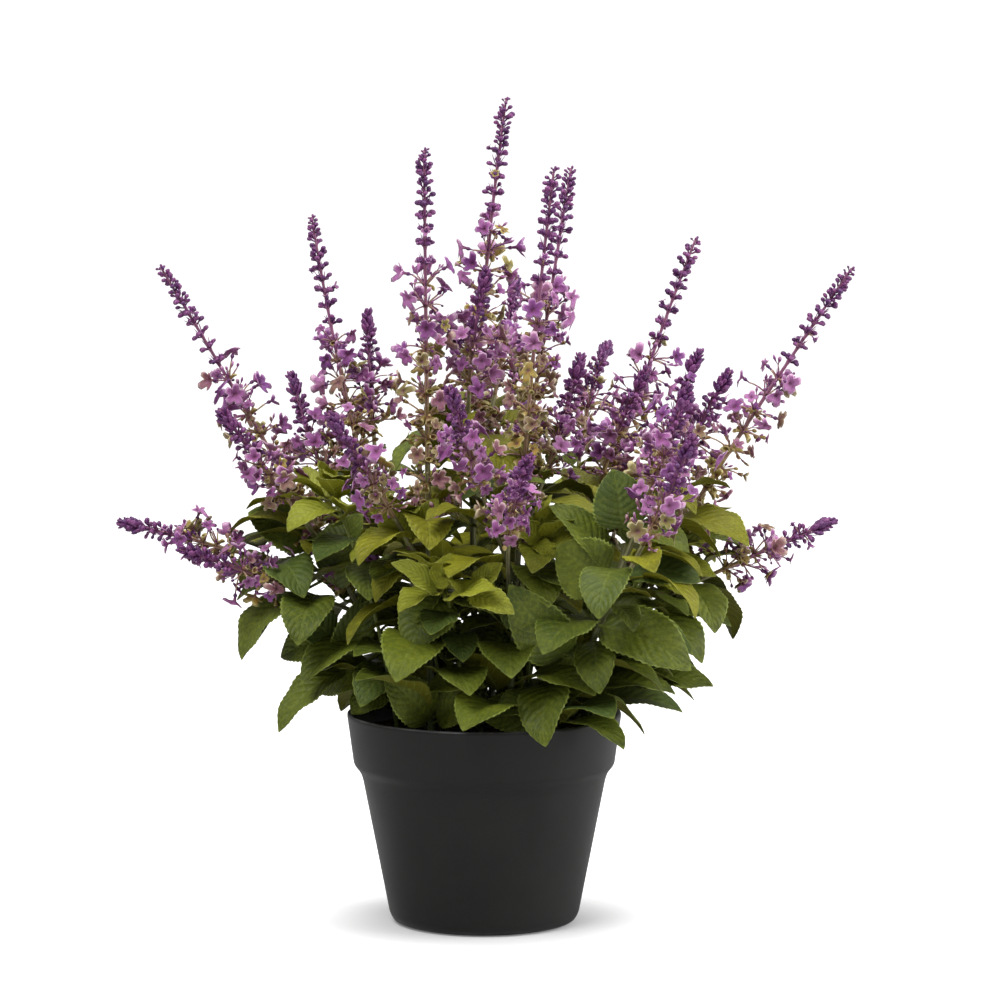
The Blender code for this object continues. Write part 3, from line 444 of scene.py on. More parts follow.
def rooted(hole, bend, tip):
    """A straight root and neck, then the curve up to the tip."""
    hole, bend = np.array(hole, float), np.array(bend, float)
    way = unit(bend - hole)
    return Route(np.vstack([hole - way * ROOT_DEPTH, curve(hole + way * NECK, bend, tip)]))


NODE_RINGS = np.array([-2.6, -1.2, 0, 1.2, 2.6])
NODE_SWELL, NODE_REACH = 0.42, 1.3


def rod(growth, route, begin, end, halves, twist, nodes, marks, finish=0, groove=0.13, step=4.0):
    """A square stalk whose section has the radius half / (|cos|^5 + |sin|^5)^(1/5) less a groove
    down the middle of each side, and swells round each of its nodes. marks gives its colour's
    share at the begin and at the end. Its first mark is 1 on a corner and 0 in a groove, where
    the stalk finishes paint a highlight and a shade."""
    stops = np.linspace(begin, end, max(3, int((end - begin) / step)))
    rings_near = [(node + NODE_RINGS) for node in nodes]
    stops = np.unique(np.clip(np.concatenate([stops, *rings_near]), begin, end).round(2))
    share = (stops - begin) / (end - begin)
    half = halves[0] + (halves[1] - halves[0]) * share
    if len(nodes):
        half = half * (1 + NODE_SWELL * np.exp(-(((stops[:, None] - nodes) / NODE_REACH) ** 2)).max(1))
    turns = np.array([q * math.pi / 2 + a for q in range(4) for a in (0.0, 0.55, 1.02)])
    section = (np.abs(np.cos(turns)) ** 5 + np.abs(np.sin(turns)) ** 5) ** -0.2
    section = section * (1 - groove * np.cos(turns * 2) ** 8)
    out = route.out(stops[:, None], twist + turns + 0 * stops[:, None])
    rings = route.at(stops)[:, None] + out * (half[:, None] * section)[..., None]
    corner = 1 - np.cos(turns * 2) ** 2
    colour = marks[0] + (marks[1] - marks[0]) * share
    shades = np.stack(np.broadcast_arrays(corner, stops[:, None] / 100, colour[:, None]), -1)
    growth.add_tube(rings, route.at(begin), route.at(end), shades, finish)


class Seat:
    """A place on a side of a stalk where something grows."""

    def __init__(self, route, distance, half, turn):
        self.route, self.distance = route, distance
        self.out, self.way = route.out(distance, turn), route.way(distance)
        self.middle = route.at(distance) + self.out * half


class Leaf:
    """A blade along an arc: at share t of its length the rib has turned down by t times the
    droop, and the half width is 2.745 t^0.6 (1 - t)^0.9 of half the leaf's width."""

    def __init__(self, seat, turn, draws, shape, pitch):
        length, width, petiole = shape
        yaw, lift, size = turn
        jitter, tilt, roll, growth, sag = draws
        outside = unit(seat.middle * (1, 1, 0)) * OUTWARD_PULL
        heading = math.atan2(seat.out[1] + outside[1], seat.out[0] + outside[0]) + jitter + math.radians(yaw)
        pitch += tilt + math.radians(lift)
        level = np.array([math.cos(heading), math.sin(heading), 0])
        self.forward = level * math.cos(pitch) + np.array([0, 0, math.sin(pitch)])
        flat = np.array([level[1], -level[0], 0])
        self.across = flat * math.cos(roll) + np.cross(self.forward, flat) * math.sin(roll)
        self.up = np.cross(self.across, self.forward)
        self.length, self.half_width = length * growth * size, width * growth * size / 2
        self.droop = LEAF_DROOP * sag
        self.seat = seat
        knee = seat.out * petiole * 0.62 + seat.way * petiole * 0.42
        self.base = seat.middle + knee + self.forward * petiole * 0.25
        self.tip = self.rib(1.0)

    def normal(self, t):
        turn = column(self.droop * np.asarray(t))
        return self.up * np.cos(turn) + self.forward * np.sin(turn)

    def rib(self, t):
        turn = column(self.droop * np.asarray(t))
        bent = self.forward * np.sin(turn) - self.up * (1 - np.cos(turn))
        return self.base + bent * self.length / self.droop

    def width(self, t):
        return self.half_width * 2.745 * t**0.6 * (1 - t) ** 0.9

    def samples(self):
        """Points spread over the blade, about 2 mm apart, for the clearance between leaves."""
        t, u = np.meshgrid(np.linspace(0.04, 1, 22), np.linspace(-1, 1, 13), indexing="ij")
        raised = self.normal(t) * column(np.abs(u) * self.width(t) * math.sin(LEAF_FOLD))
        return (self.rib(t) + self.across * column(u * self.width(t)) + raised).reshape(-1, 3)


class HungLeaf(Leaf):
    """A blade hung between two given points, facing a given way: its chord is the forward way
    turned down by half the droop, and its length is chord * (droop / 2) / sin(droop / 2)."""

    def __init__(self, seat, base, tip, width, facing, droop):
        self.seat, self.base, self.droop = seat, np.array(base, float), droop
        chord = np.array(tip, float) - self.base
        way = unit(chord)
        up = unit(np.array(facing, float) - way * way.dot(facing))
        self.forward = way * math.cos(droop / 2) + up * math.sin(droop / 2)
        self.up = up * math.cos(droop / 2) - way * math.sin(droop / 2)
        self.across = np.cross(self.forward, self.up)
        self.length = np.linalg.norm(chord) * (droop / 2) / math.sin(droop / 2)
        self.half_width = width / 2
        self.tip = self.rib(1.0)


def leaf_draws(key):
    """What differs from leaf to leaf: turn, tilt, roll, size and droop."""
    draw = random.Random(key)
    return (
        math.radians(draw.uniform(-14, 14)), math.radians(draw.uniform(-9, 9)),
        math.radians(draw.uniform(-16, 16)), draw.uniform(0.88, 1.1), draw.uniform(0.75, 1.25),
    )


BLADE_COLUMNS = np.array([-1, -0.87, -0.62, -0.32, 0, 0.32, 0.62, 0.87, 1])
BLADE_THICKNESS = 0.34
PETIOLE_HALF = 0.75
PETIOLE_SWELL = np.array([1.5, 1.15, 1.0, 0.95])[:, None]
PETIOLE_REACH = (-0.2, -0.15, -0.1, -0.05)
TEETH, FEWER_TEETH = 16, 9
TOOTH_CUT = 0.93
SIDE_VEINS = 9.0
QUILT = 0.13


def grow_blade(growth, leaf, key, teeth=TEETH, finish=LEAF):
    """A leaf as one tube: rings along the petiole, then rings round the blade from notch to
    tooth point. In a ring the columns go out and back at u from -1 to 1, at
    z = fold |u| (1.6 - 0.6 |u|) + quilt + wave, plus or minus half the thickness.
    Its marks are u, t, and a tone from 0 to 1 with 2 added on the underside."""
    draw = random.Random(key + " blade")
    tone, phase, wave = draw.uniform(0, 1), draw.uniform(0, 2 * math.pi), draw.uniform(0.4, 1.1)
    places = (np.arange(teeth)[:, None] + np.array([0.3, 0.97])).ravel() / (teeth + 0.35)
    reach = np.concatenate([[0.0, 0.008], places, [0.992]])
    cut = np.concatenate([[1.0, 1.0], np.tile([TOOTH_CUT, 1.0], teeth), [0.8]])[:, None]
    u, side = np.tile(BLADE_COLUMNS, 2), np.repeat([1.0, -1.0], len(BLADE_COLUMNS))
    u[len(BLADE_COLUMNS):] *= -1
    t, off = reach[:, None], np.abs(u)
    grown = np.clip(t / 0.03, 0, 1)
    width = np.maximum(leaf.width(t), PETIOLE_HALF * (1 - t))
    sideways = u * width * (1 + (cut - 1) * off**8)
    phases = (t - 0.24 * off - 0.08 * u**2) * SIDE_VEINS
    quilt = QUILT * np.abs(np.sin(math.pi * phases)) * (1 - off**4)
    ripple = wave * np.sin(2 * math.pi * 2.3 * t + phase * np.sign(u)) * off**3 * 1.1
    fold = width * math.sin(LEAF_FOLD) * off * (1.6 - 0.6 * off)
    thick = BLADE_THICKNESS / 2 * (1 - 0.35 * u**2)
    keel = np.where(side < 0, 0.75 * (1 - t) * np.exp(-((sideways / 0.9) ** 2)), 0)
    round_half = PETIOLE_HALF * np.sqrt(1 - (0.94 * u) ** 2)
    raised = grown * (fold + (quilt + ripple) * np.sin(math.pi * t) - keel)
    raised = raised + side * (grown * thick + (1 - grown) * round_half)
    rings = leaf.rib(reach)[:, None] + leaf.across * sideways[..., None]
    rings = rings + leaf.normal(reach)[:, None] * raised[..., None]
    seat = leaf.seat
    bend = leaf.base - leaf.forward * np.linalg.norm(leaf.base - seat.middle) * 0.4
    stalk = curve(seat.middle - seat.out * 0.6, bend, leaf.base, 4)
    stalk_way = unit(np.gradient(stalk, axis=0))[:4]
    stalk_up = unit(np.cross(leaf.across, stalk_way))
    across = unit(np.cross(stalk_way, stalk_up))
    stalk_rings = stalk[:4, None] + across[:, None] * (u * PETIOLE_HALF * PETIOLE_SWELL)[..., None]
    stalk_rings = stalk_rings + stalk_up[:, None] * (side * round_half * PETIOLE_SWELL)[..., None]
    along = np.concatenate([PETIOLE_REACH, reach])[:, None]
    shades = np.stack(np.broadcast_arrays(u, along, tone + np.where(side < 0, 2.0, 0.0)), -1)
    growth.add_tube(np.concatenate([stalk_rings, rings]), stalk[0], leaf.tip, shades, finish)


def shading_group(name, colours, **outputs):
    """A node group that takes the marks, the place and the named colours: the group, its inputs
    by name and the sockets that its outputs leave by."""
    group = bpy.data.node_groups.new(name, "ShaderNodeTree")
    inputs = {"Marks": "Vector", "Object": "Vector", **dict.fromkeys(colours, "Color")}
    for way, sockets in (("INPUT", inputs), ("OUTPUT", outputs)):
        for socket, kind in sockets.items():
            group.interface.new_socket(socket, in_out=way, socket_type="NodeSocket" + kind)
    return group, group.nodes.new("NodeGroupInput").outputs, group.nodes.new("NodeGroupOutput").inputs


def vein_group():
    """Shading of a blade from its marks: side veins where (t - 0.24|u| - 0.08u^2) times their
    number is whole, a rib at u = 0, a fine net between them, a pale rim and a dull underside."""
    colours = ("Deep Color", "Bright Color", "Cool Color", "Vein Color", "Rim Color", "Under Color")
    outputs = {"Color": "Color", "Roughness": "Float", "Height": "Float"}
    group, source, result = shading_group("leaf_veins", colours, **outputs)
    place, pale = source["Object"], source["Vein Color"]

    def times(one, other):
        return calc(group, "MULTIPLY", one, other)

    def more(value, by, plus):
        return calc(group, "MULTIPLY_ADD", value, by, plus)

    parts = put(group, "SeparateXYZ", {0: source["Marks"]}).outputs
    u, t, tone = calc(group, "ABSOLUTE", parts["X"]), parts["Y"], parts["Z"]
    slant = more(times(u, u), -0.08, more(u, -0.24, t))
    wobble = more(noise(group, place, 160.0), 0.018, slant)
    phase = calc(group, "FRACT", times(wobble, SIDE_VEINS))
    near = times(calc(group, "ABSOLUTE", calc(group, "SUBTRACT", phase, 0.5)), 2.0)
    vein = times(ramp(group, near, 0.84, 0.99), ramp(group, u, 1.0, 0.82, 0.2, 1.0))
    rib = ramp(group, u, 0.10, 0.02)
    lines = calc(group, "MAXIMUM", vein, rib)
    net_place = put(group, "Mapping", {"Vector": source["Marks"], "Scale": (11, 17, 40)}).outputs[0]
    net = put(group, "TexVoronoi", {"Vector": net_place, "Scale": 1.6}, feature="DISTANCE_TO_EDGE")
    net_line = ramp(group, net.outputs["Distance"], 0.0, 0.16)
    patch = noise(group, place, 70.0, 4.0)
    under = ramp(group, tone, 1.2, 1.9)
    own = calc(group, "FRACT", tone)
    fleck = ramp(group, noise(group, place, 520.0, 3.0), 0.42, 0.68, -0.16, 0.30)
    light = calc(group, "ADD", more(own, 0.50, times(ramp(group, patch, 0.3, 0.75), 0.40)), fleck)
    blade = blend(group, light, source["Deep Color"], source["Bright Color"])
    cool = ramp(group, calc(group, "FRACT", times(own, 7.3)), 0.55, 0.92, 0.0, 0.60)
    blade = blend(group, cool, blade, source["Cool Color"])
    blade = blend(group, times(ramp(group, net_line, 1.0, 0.0), 0.16), blade, pale)
    blade = blend(group, times(lines, 0.26), blade, pale)
    rim = calc(group, "MAXIMUM", ramp(group, u, 0.90, 1.0), ramp(group, t, 0.93, 1.0))
    petiole = ramp(group, t, 0.02, -0.02)
    rim = times(calc(group, "MAXIMUM", rim, petiole), 0.75)
    blade = blend(group, rim, blade, source["Rim Color"])
    below = blend(group, times(lines, 0.5), source["Under Color"], pale)
    feed(group, result["Color"], blend(group, under, blade, below))
    feed(group, result["Roughness"], more(under, 0.16, ramp(group, patch, 0.25, 0.8, 0.34, 0.50)))
    pillow = more(ramp(group, near, 1.0, 0.1), 1.0, times(net_line, 0.32))
    top = calc(group, "SUBTRACT", pillow, times(rib, 0.9))
    feed(group, result["Height"], times(top, ramp(group, tone, 1.4, 1.6, 1.0, -0.8)))
    return group


def streak_group():
    """Shading of a stalk from its marks: two colours blended up its length, long fibres, a painted
    highlight on the corners and painted shade in the grooves."""
    colours = ("Low Color", "High Color", "Groove Color", "Corner Color")
    group, source, result = shading_group("stalk_streaks", colours, Color="Color", Height="Float")
    parts = put(group, "SeparateXYZ", {0: source["Marks"]}).outputs
    long = put(group, "Mapping", {"Vector": source["Object"], "Scale": (1, 1, 0.06)}).outputs[0]
    fibre = noise(group, long, 2400.0, 2.0)
    patch = noise(group, source["Object"], 110.0, 3.0)
    climb = calc(group, "MULTIPLY_ADD", calc(group, "SUBTRACT", patch, 0.5), 0.5, parts["Z"])
    colour = blend(group, ramp(group, climb, 0.15, 0.85), source["Low Color"], source["High Color"])
    streaks = ramp(group, fibre, 0.3, 0.6, 0.45, 0.9)
    # Painted shade: the grooves darker, broken up by the fibres.
    groove = calc(group, "MULTIPLY", ramp(group, parts["X"], 0.45, 0.0), streaks)
    colour = blend(group, groove, colour, source["Groove Color"])
    # Painted highlight: the corners paler, broken up by the fibres.
    streaks = ramp(group, fibre, 0.35, 0.7, 0.3, 0.85)
    corner = calc(group, "MULTIPLY", ramp(group, parts["X"], 0.75, 1.0), streaks)
    feed(group, result["Color"], blend(group, corner, colour, source["Corner Color"]))
    feed(group, result["Height"], calc(group, "MULTIPLY_ADD", fibre, 0.7, patch))
    return group


def grown_finish(name, group, distance, *colours, **constants):
    """A material whose marks, place and colours go through a shading group to its shader."""
    material, tree, shader, where = finish(name, **constants)
    marks = put(tree, "Attribute", attribute_name="marks").outputs["Vector"]
    shading = put(tree, "Group", node_tree=group)
    for socket, value in zip(shading.inputs, (marks, where) + colours):
        feed(tree, socket, value)
    tree.links.new(shading.outputs["Color"], shader.inputs["Base Color"])
    if "Roughness" in shading.outputs:
        tree.links.new(shading.outputs["Roughness"], shader.inputs["Roughness"])
    raise_surface(tree, shader, shading.outputs["Height"], distance)
    return material


VEIN_RELIEF, STREAK_RELIEF = 0.0003, 0.00012
leaf_veins, stalk_streaks = vein_group(), streak_group()
green_leaf = grown_finish(
    "green_leaf", leaf_veins, VEIN_RELIEF,
    (0.055, 0.080, 0.010, 1), (0.177, 0.206, 0.015, 1), (0.048, 0.091, 0.027, 1),
    (0.22, 0.27, 0.05, 1), (0.32, 0.39, 0.07, 1), (0.120, 0.120, 0.007, 1), IOR=1.45, Specular_IOR_Level=0.32,
)
olive_leaf = grown_finish(
    "olive_leaf", leaf_veins, VEIN_RELIEF,
    (0.130, 0.128, 0.006, 1), (0.310, 0.305, 0.016, 1), (0.150, 0.155, 0.010, 1),
    (0.32, 0.33, 0.05, 1), (0.42, 0.44, 0.07, 1), (0.175, 0.170, 0.007, 1), IOR=1.43, Specular_IOR_Level=0.3,
)
# The last two colours are painted shade in the grooves and a painted highlight on the corners.
green_stalk = grown_finish(
    "green_stalk", stalk_streaks, STREAK_RELIEF,
    (0.095, 0.130, 0.042, 1), (0.27, 0.25, 0.12, 1), (0.070, 0.070, 0.035, 1),
    (0.36, 0.38, 0.22, 1), Roughness=0.48, IOR=1.42,
)


class Spray:
    """One leafy stem with its side shoots: where it runs, forks, leafs and starts to flower."""

    def __init__(self, name, hole, bend, tip, shoots):
        self.name, self.route = name, rooted(hole, bend, tip)
        self.twist = random.Random(name).uniform(0, math.pi / 2)
        self.tall, self.front = name != SHORT_TOPPED, hole[1] < FRONT_OF
        self.top = self.route.length - (TALL_SPIKE if self.tall else SHORT_SPIKE) - SEAT_GAP
        stem = self.route.length - ROOT_DEPTH
        self.forks = [(ROOT_DEPTH + share * stem, np.array(tip, float)) for share, tip in shoots]
        self.pairs = []
        for height, pitch in LEAF_PAIRS:
            distance = ROOT_DEPTH + height
            bare = height < BARE_HEIGHT and math.hypot(*hole[:2]) < BARE_RADIUS
            clear = all(abs(distance - fork) > FORK_ROOM for fork, _ in self.forks)
            if not bare and distance < self.top - 5 and clear:
                self.pairs.append((distance, pitch))
        self.shoots = [self.shoot(*fork) for fork in sorted(self.forks, key=lambda fork: fork[0])]

    def half(self, distance):
        return STEM_LOW + (STEM_TOP - STEM_LOW) * distance / self.top

    def seat(self, distance, side):
        return Seat(self.route, distance, self.half(distance), self.twist + side * math.pi / 2)

    def shoot(self, distance, tip):
        """A side shoot leaves by the side of the stem that looks most towards its tip."""
        seats = [self.seat(distance, side) for side in range(4)]
        seat = max(seats, key=lambda s: s.out.dot(tip - s.middle))
        toward = tip - seat.middle
        bend = seat.middle + toward * 0.3 + (seat.out * 0.16 + seat.way * 0.2) * np.linalg.norm(toward)
        return Route(curve(seat.middle, bend, tip), seat.way)

    def leaves(self):
        """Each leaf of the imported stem: its seat, key, shape and pitch."""
        for pair, (distance, pitch) in enumerate(self.pairs):
            share = (distance - NODE_BAND / 2 - ROOT_DEPTH) / (self.top - ROOT_DEPTH)
            shape = np.array(LOW_LEAF) * (1.06 - 0.26 * share)
            for side in (pair % 2, pair % 2 + 2):
                yield self.seat(distance, side), f"{self.name} {pair} {side}", shape, pitch
        for number, route in enumerate(self.shoots):
            leaf_at = (route.length - SHORT_SPIKE - SEAT_GAP) * SHOOT_LEAF_SHARE
            for side, turn in enumerate((math.pi / 2, 3 * math.pi / 2)):
                seat = Seat(route, leaf_at, SHOOT_HALF, turn)
                key = f"{self.name} shoot {number} {side}"
                yield seat, key, np.array(SHOOT_LEAF, float), SHOOT_LEAF_PITCH

    def fuller_leaves(self):
        """Seats, keys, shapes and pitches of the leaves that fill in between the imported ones."""
        draw = random.Random(self.name + " fuller")
        ringed = FRONT_RINGED if self.front else BACK_RINGED
        for pair, height in enumerate(FULLER_HEIGHTS):
            distance = ROOT_DEPTH + height
            if distance > self.top - 8:
                break
            for side in range(4) if height < ringed else ((pair + 1) % 2, (pair + 1) % 2 + 2):
                shape = np.array(LOW_LEAF) * draw.uniform(*FULLER_SIZES)
                key = f"{self.name} fuller {pair} {side}"
                yield self.seat(distance, side), key, shape, draw.uniform(*FULLER_PITCHES)
        for number, route in enumerate(self.shoots):
            stop = route.length - SHORT_SPIKE - SEAT_GAP
            for pair, share in enumerate(FULLER_ON_SHOOTS):
                for side in (0, 2):
                    seat = Seat(route, stop * share, SHOOT_HALF, side * math.pi / 2)
                    shape = np.array(SHOOT_LEAF) * draw.uniform(*FULLER_SIZES) * 0.85
                    yield seat, f"{self.name} {number} {pair} {side}", shape, draw.uniform(*FULLER_PITCHES)


def leaf_age(leaf, key):
    """Which finish a leaf has: the higher it grows, the likelier it is a young and olive one."""
    low, high = OLIVE_HEIGHTS
    share = OLIVE_SHARE * min(1.0, max(0.0, (leaf.base[2] - low) / (high - low)))
    olive = key in OLIVE_LEAVES or random.Random(key + " age").uniform(0, 1) < share
    return OTHER_LEAF if olive else LEAF


def packed_points(node):
    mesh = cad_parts[node].data
    places = np.empty(len(mesh.vertices) * 3, np.float32)
    mesh.vertices.foreach_get("co", places)
    return places.reshape(-1, 3) / MM


def packed_leaf(solid, seat, key, shape, pitch):
    """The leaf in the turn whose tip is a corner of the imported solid, or None if none is."""
    for turn in LEAF_TURNS:
        leaf = Leaf(seat, turn, leaf_draws(key), shape, math.radians(pitch))
        if np.abs(solid - leaf.tip).max(1).min() < SAME_TIP:
            return leaf
    return None


class Room:
    """Which small cells of the space over the pot are taken by stems and leaves."""

    def __init__(self):
        self.taken = np.zeros([int(side / ROOM_CELL) for side in ROOM_SIZE], bool)

    def cells(self, points):
        inside = np.clip((points - ROOM_CORNER) / ROOM_CELL, 0, np.array(self.taken.shape) - 1)
        return tuple(inside.astype(int).T)

    def take(self, points):
        """The cells that the points are in and the six beside each."""
        for step in ((0, 0, 0), (1, 0, 0), (-1, 0, 0), (0, 1, 0), (0, -1, 0), (0, 0, 1), (0, 0, -1)):
            self.taken[self.cells(points + np.array(step) * ROOM_CELL)] = True

    def crowding(self, points):
        return self.taken[self.cells(points)].mean()


def extra_leaf(seat, key, shape, pitch):
    """A leaf in the turn that is least crowded, or None if every turn crosses something."""
    leaves = [Leaf(seat, turn, leaf_draws(key), shape, math.radians(pitch)) for turn in LEAF_TURNS]
    crowds = [room.crowding(leaf.samples()) + 0.0008 * order for order, leaf in enumerate(leaves)]
    best = int(np.argmin(crowds))
    if crowds[best] > CROWDED:
        return None
    room.take(leaves[best].samples())
    return leaves[best]


turns = np.linspace(0, 2 * math.pi, 180)


def level_ring(radius, height):
    """Points on a level ring about the pot's middle line."""
    return np.stack([radius * np.cos(turns), radius * np.sin(turns), height + 0 * turns], -1)


sprays = [Spray(name, *place) for name, place in SPRAYS.items()]
room = Room()
for height in np.arange(*RIM_HEIGHTS, 2.0):
    room.take(level_ring(RIM_RADIUS, height))
for radius in np.arange(0, SOIL_REACH, 2.0):
    room.take(level_ring(radius, SOIL_HEIGHT))
for spray in sprays:
    for route in [spray.route] + spray.shoots:
        room.take(route.at(np.arange(0, route.length, 1.5)))

stem_leaves = {}
for spray in sprays:
    solid = packed_points(f"leafy_stem_{spray.name}")
    found = [(packed_leaf(solid, *told), told[1]) for told in spray.leaves()]
    stem_leaves[spray.name] = [(leaf, key) for leaf, key in found if leaf is not None]
    for number, (stem, height, side, base, tip, width, facing) in enumerate(HUNG_LEAVES):
        if stem == spray.name:
            leaf = HungLeaf(spray.seat(ROOT_DEPTH + height, side), base, tip, width, facing, HUNG_DROOP)
            stem_leaves[stem].append((leaf, f"hung {number}"))
    for leaf, _ in stem_leaves[spray.name]:
        room.take(leaf.samples())
for number in range(1, 9):
    lime_points = packed_points(f"lime_shoot_{number}")
    room.take(lime_points)
    lime_top = lime_points[lime_points[:, 2] > lime_points[:, 2].max() - LIME_TOP_LEAVES].mean(0)
    for height in np.arange(*LIME_HEIGHTS, ROOM_CELL):
        for radius in np.arange(0, LIME_RADIUS, ROOM_CELL):
            room.take(lime_top + level_ring(radius, height))

for spray in sprays:
    growth = Growth()
    nodes = np.array([distance for distance, _ in spray.pairs + spray.forks])
    rod(growth, spray.route, 0, spray.top, (STEM_LOW, STEM_TOP), spray.twist, nodes, (0, 0.8), STALK)
    for route in spray.shoots:
        stop = route.length - SHORT_SPIKE - SEAT_GAP
        nodes = np.array([stop * SHOOT_LEAF_SHARE])
        rod(growth, route, -0.6, stop, (SHOOT_FOOT, SHOOT_HALF), 0, nodes, (0.4, 1), STALK)
    for leaf, key in stem_leaves[spray.name]:
        grow_blade(growth, leaf, key, TEETH, LEAF if key.startswith("hung") else leaf_age(leaf, key))
    for told in spray.fuller_leaves():
        leaf = extra_leaf(*told)
        if leaf is not None:
            grow_blade(growth, leaf, told[1], FEWER_TEETH, leaf_age(leaf, told[1]))
    stem = growth.piece(f"stem_and_leaves_{spray.name}", green_leaf, green_stalk, olive_leaf)
    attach(stem, "root")
    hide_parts(f"leafy_stem_{spray.name}")


# Lime shoots. Eight young shoots stand between the stems, soft and yellow-green, each a rosette
# of small leaves that stand steeper towards its tip, over two older green pairs.

LIME_HALF, LIME_TIP_HALF = 1.2, 0.7
LIME_LEAF = (30, 21, 5)
LIME_PAIRS = (13, 4)
LIME_TURGID = 0.45
LIME_HUNG_DROOP = math.radians(38)

# The other pairs of each rosette: how far below its tip they grow, their size, their pitch, how
# far round they are turned and their finish.
LIME_HIGHER = (
    (1.5, 0.60, 72, 0.4, LEAF), (7.5, 0.92, 50, 0.9, LEAF), (17, 1.12, 26, 1.2, LEAF),
    (30, 1.2, 6, 0.3, OTHER_LEAF), (46, 1.1, -4, 1.0, OTHER_LEAF),
)
LIME_HIDDEN_PAIR = 2

# The young leaves that show most from the front: their shoot, how far below its tip they grow,
# where the blade begins and ends, its width and the way that it faces.
LIME_HUNG = (
    (3, 9, (-25, -80, 189), (-48, -95, 206), 16, (-0.3, -0.7, 0.7)),
    (3, 5, (-25, -79, 191), (-17, -85, 210), 13, (0.0, -1.0, 0.3)),
    (3, 12, (-18, -84, 186), (7, -104, 193), 18, (0.1, -0.6, 0.8)),
    (3, 16, (-7, -86, 188), (16, -102, 180), 17, (0.2, -0.8, 0.6)),
    (3, 7, (-5, -80, 192), (10, -86, 205), 12, (0.1, -0.9, 0.4)),
    (2, 8, (-42, -42, 214), (-55, -49, 236), 18, (-0.2, -1.0, 0.2)),
    (2, 8, (-38, -42, 214), (-24, -47, 235), 15, (0.2, -1.0, 0.2)),
    (2, 14, (-47, -44, 214), (-68, -58, 208), 16, (-0.2, -0.7, 0.7)),
    (4, 8, (29, -61, 213), (12, -72, 229), 15, (-0.2, -0.8, 0.6)),
    (4, 12, (26, -62, 212), (38, -76, 206), 12, (0.1, -0.7, 0.7)),
    (4, 6, (32, -59, 213), (39, -62, 234), 16, (0.2, -0.9, 0.2)),
    (4, 11, (34, -62, 211), (53, -74, 215), 14, (0.2, -0.7, 0.7)),
    (5, 10, (94, -45, 200), (122, -56, 194), 16, (0.1, -0.7, 0.7)),
    (5, 16, (90, -46, 196), (110, -64, 184), 17, (0.1, -0.8, 0.6)),
    (6, 8, (100, 10, 211), (122, 2, 209), 17, (0.1, -0.7, 0.7)),
)
LIME_SHOOTS = (
    ((-46, -14, 103), (-82, -30, 237)),
    ((-20, -8, 104), (-48, -38, 222)),
    ((-10, -14, 104), (-22, -74, 196)),
    ((22, -14, 104), (30, -58, 218)),
    ((56, -10, 103), (92, -44, 206)),
    ((54, 16, 103), (110, 16, 214)),
    ((22, 54, 103), (52, 96, 214)),
    ((-34, 50, 103), (-62, 96, 212)),
)
lime_leaf = grown_finish(
    "lime_leaf", leaf_veins, VEIN_RELIEF,
    (0.180, 0.190, 0.012, 1), (0.370, 0.390, 0.030, 1), (0.175, 0.200, 0.018, 1),
    (0.42, 0.45, 0.08, 1), (0.54, 0.57, 0.13, 1), (0.27, 0.27, 0.018, 1), IOR=1.42, Specular_IOR_Level=0.3,
)
# The last two colours are painted shade in the grooves and a painted highlight on the corners.
lime_stalk = grown_finish(
    "lime_stalk", stalk_streaks, STREAK_RELIEF,
    (0.10, 0.15, 0.03, 1), (0.25, 0.29, 0.06, 1), (0.08, 0.10, 0.025, 1),
    (0.33, 0.37, 0.13, 1), Roughness=0.5, IOR=1.42,
)


def lime_route(hole, tip):
    """A lime shoot rises steeply and then leans out to its top."""
    hole, tip = np.array(hole, float), np.array(tip, float)
    lean = (tip - hole) * (1, 1, 0)
    return rooted(hole, (hole + tip) / 2 + (0, 0, 16) - lean * 0.18, tip)


def seat_towards(route, below, twist, place):
    """The side of a lime shoot that looks most towards a place."""
    seats = [Seat(route, route.length - below, LIME_HALF, twist + side * math.pi / 2) for side in range(4)]
    return max(seats, key=lambda seat: seat.out.dot(np.array(place) - seat.middle))


for number, (hole, tip) in enumerate(LIME_SHOOTS, 1):
    name = f"lime_shoot_{number}"
    route = lime_route(hole, tip)
    solid = packed_points(name)
    twist = random.Random(hole[0]).uniform(0, math.pi / 2)
    stops = [route.length - below for below in LIME_PAIRS]
    growth = Growth()
    rod(growth, route, 0, route.length, (LIME_HALF, LIME_TIP_HALF), twist, np.array(stops), (0, 1), STALK)
    for pair, stop in enumerate(stops):
        size = 1.05 - 0.25 * pair
        for side in (pair, pair + 2):
            seat = Seat(route, stop, LIME_HALF, twist + side * math.pi / 2)
            key = f"{name} {pair} {side}"
            leaf = packed_leaf(solid, seat, key, np.array(LIME_LEAF) * size, 22 + 30 * pair)
            if leaf is not None:
                grow_blade(growth, leaf, key, FEWER_TEETH)
    hung = [told for told in LIME_HUNG if told[0] == number]
    for told, (_, below, base, end, width, facing) in enumerate(hung):
        leaf = HungLeaf(seat_towards(route, below, twist, base), base, end, width, facing, LIME_HUNG_DROOP)
        grow_blade(growth, leaf, f"{name} hung {told}", FEWER_TEETH)
    for pair, (below, size, pitch, quarter, made_of) in enumerate(LIME_HIGHER):
        for side in () if hung and pair == LIME_HIDDEN_PAIR else (0, 2):
            seat = Seat(route, route.length - below, LIME_HALF * 0.8, twist + quarter + side * math.pi / 2)
            key = f"{name} higher {pair} {side}"
            draws = leaf_draws(key)[:4] + (LIME_TURGID,)
            leaf = Leaf(seat, (0, 0, 1.0), draws, np.array(LIME_LEAF) * size, math.radians(pitch))
            grow_blade(growth, leaf, key, FEWER_TEETH, made_of)
    shoot = growth.piece(f"young_{name}", lime_leaf, lime_stalk, green_leaf)
    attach(shoot, "root")
    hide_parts(name)


# Flower spikes. Each stalk carries whorls that ripen from the bottom up: spent olive cups, then
# open two-lipped flowers on thin stalks, then round-headed buds, and a dense tip of small buds.

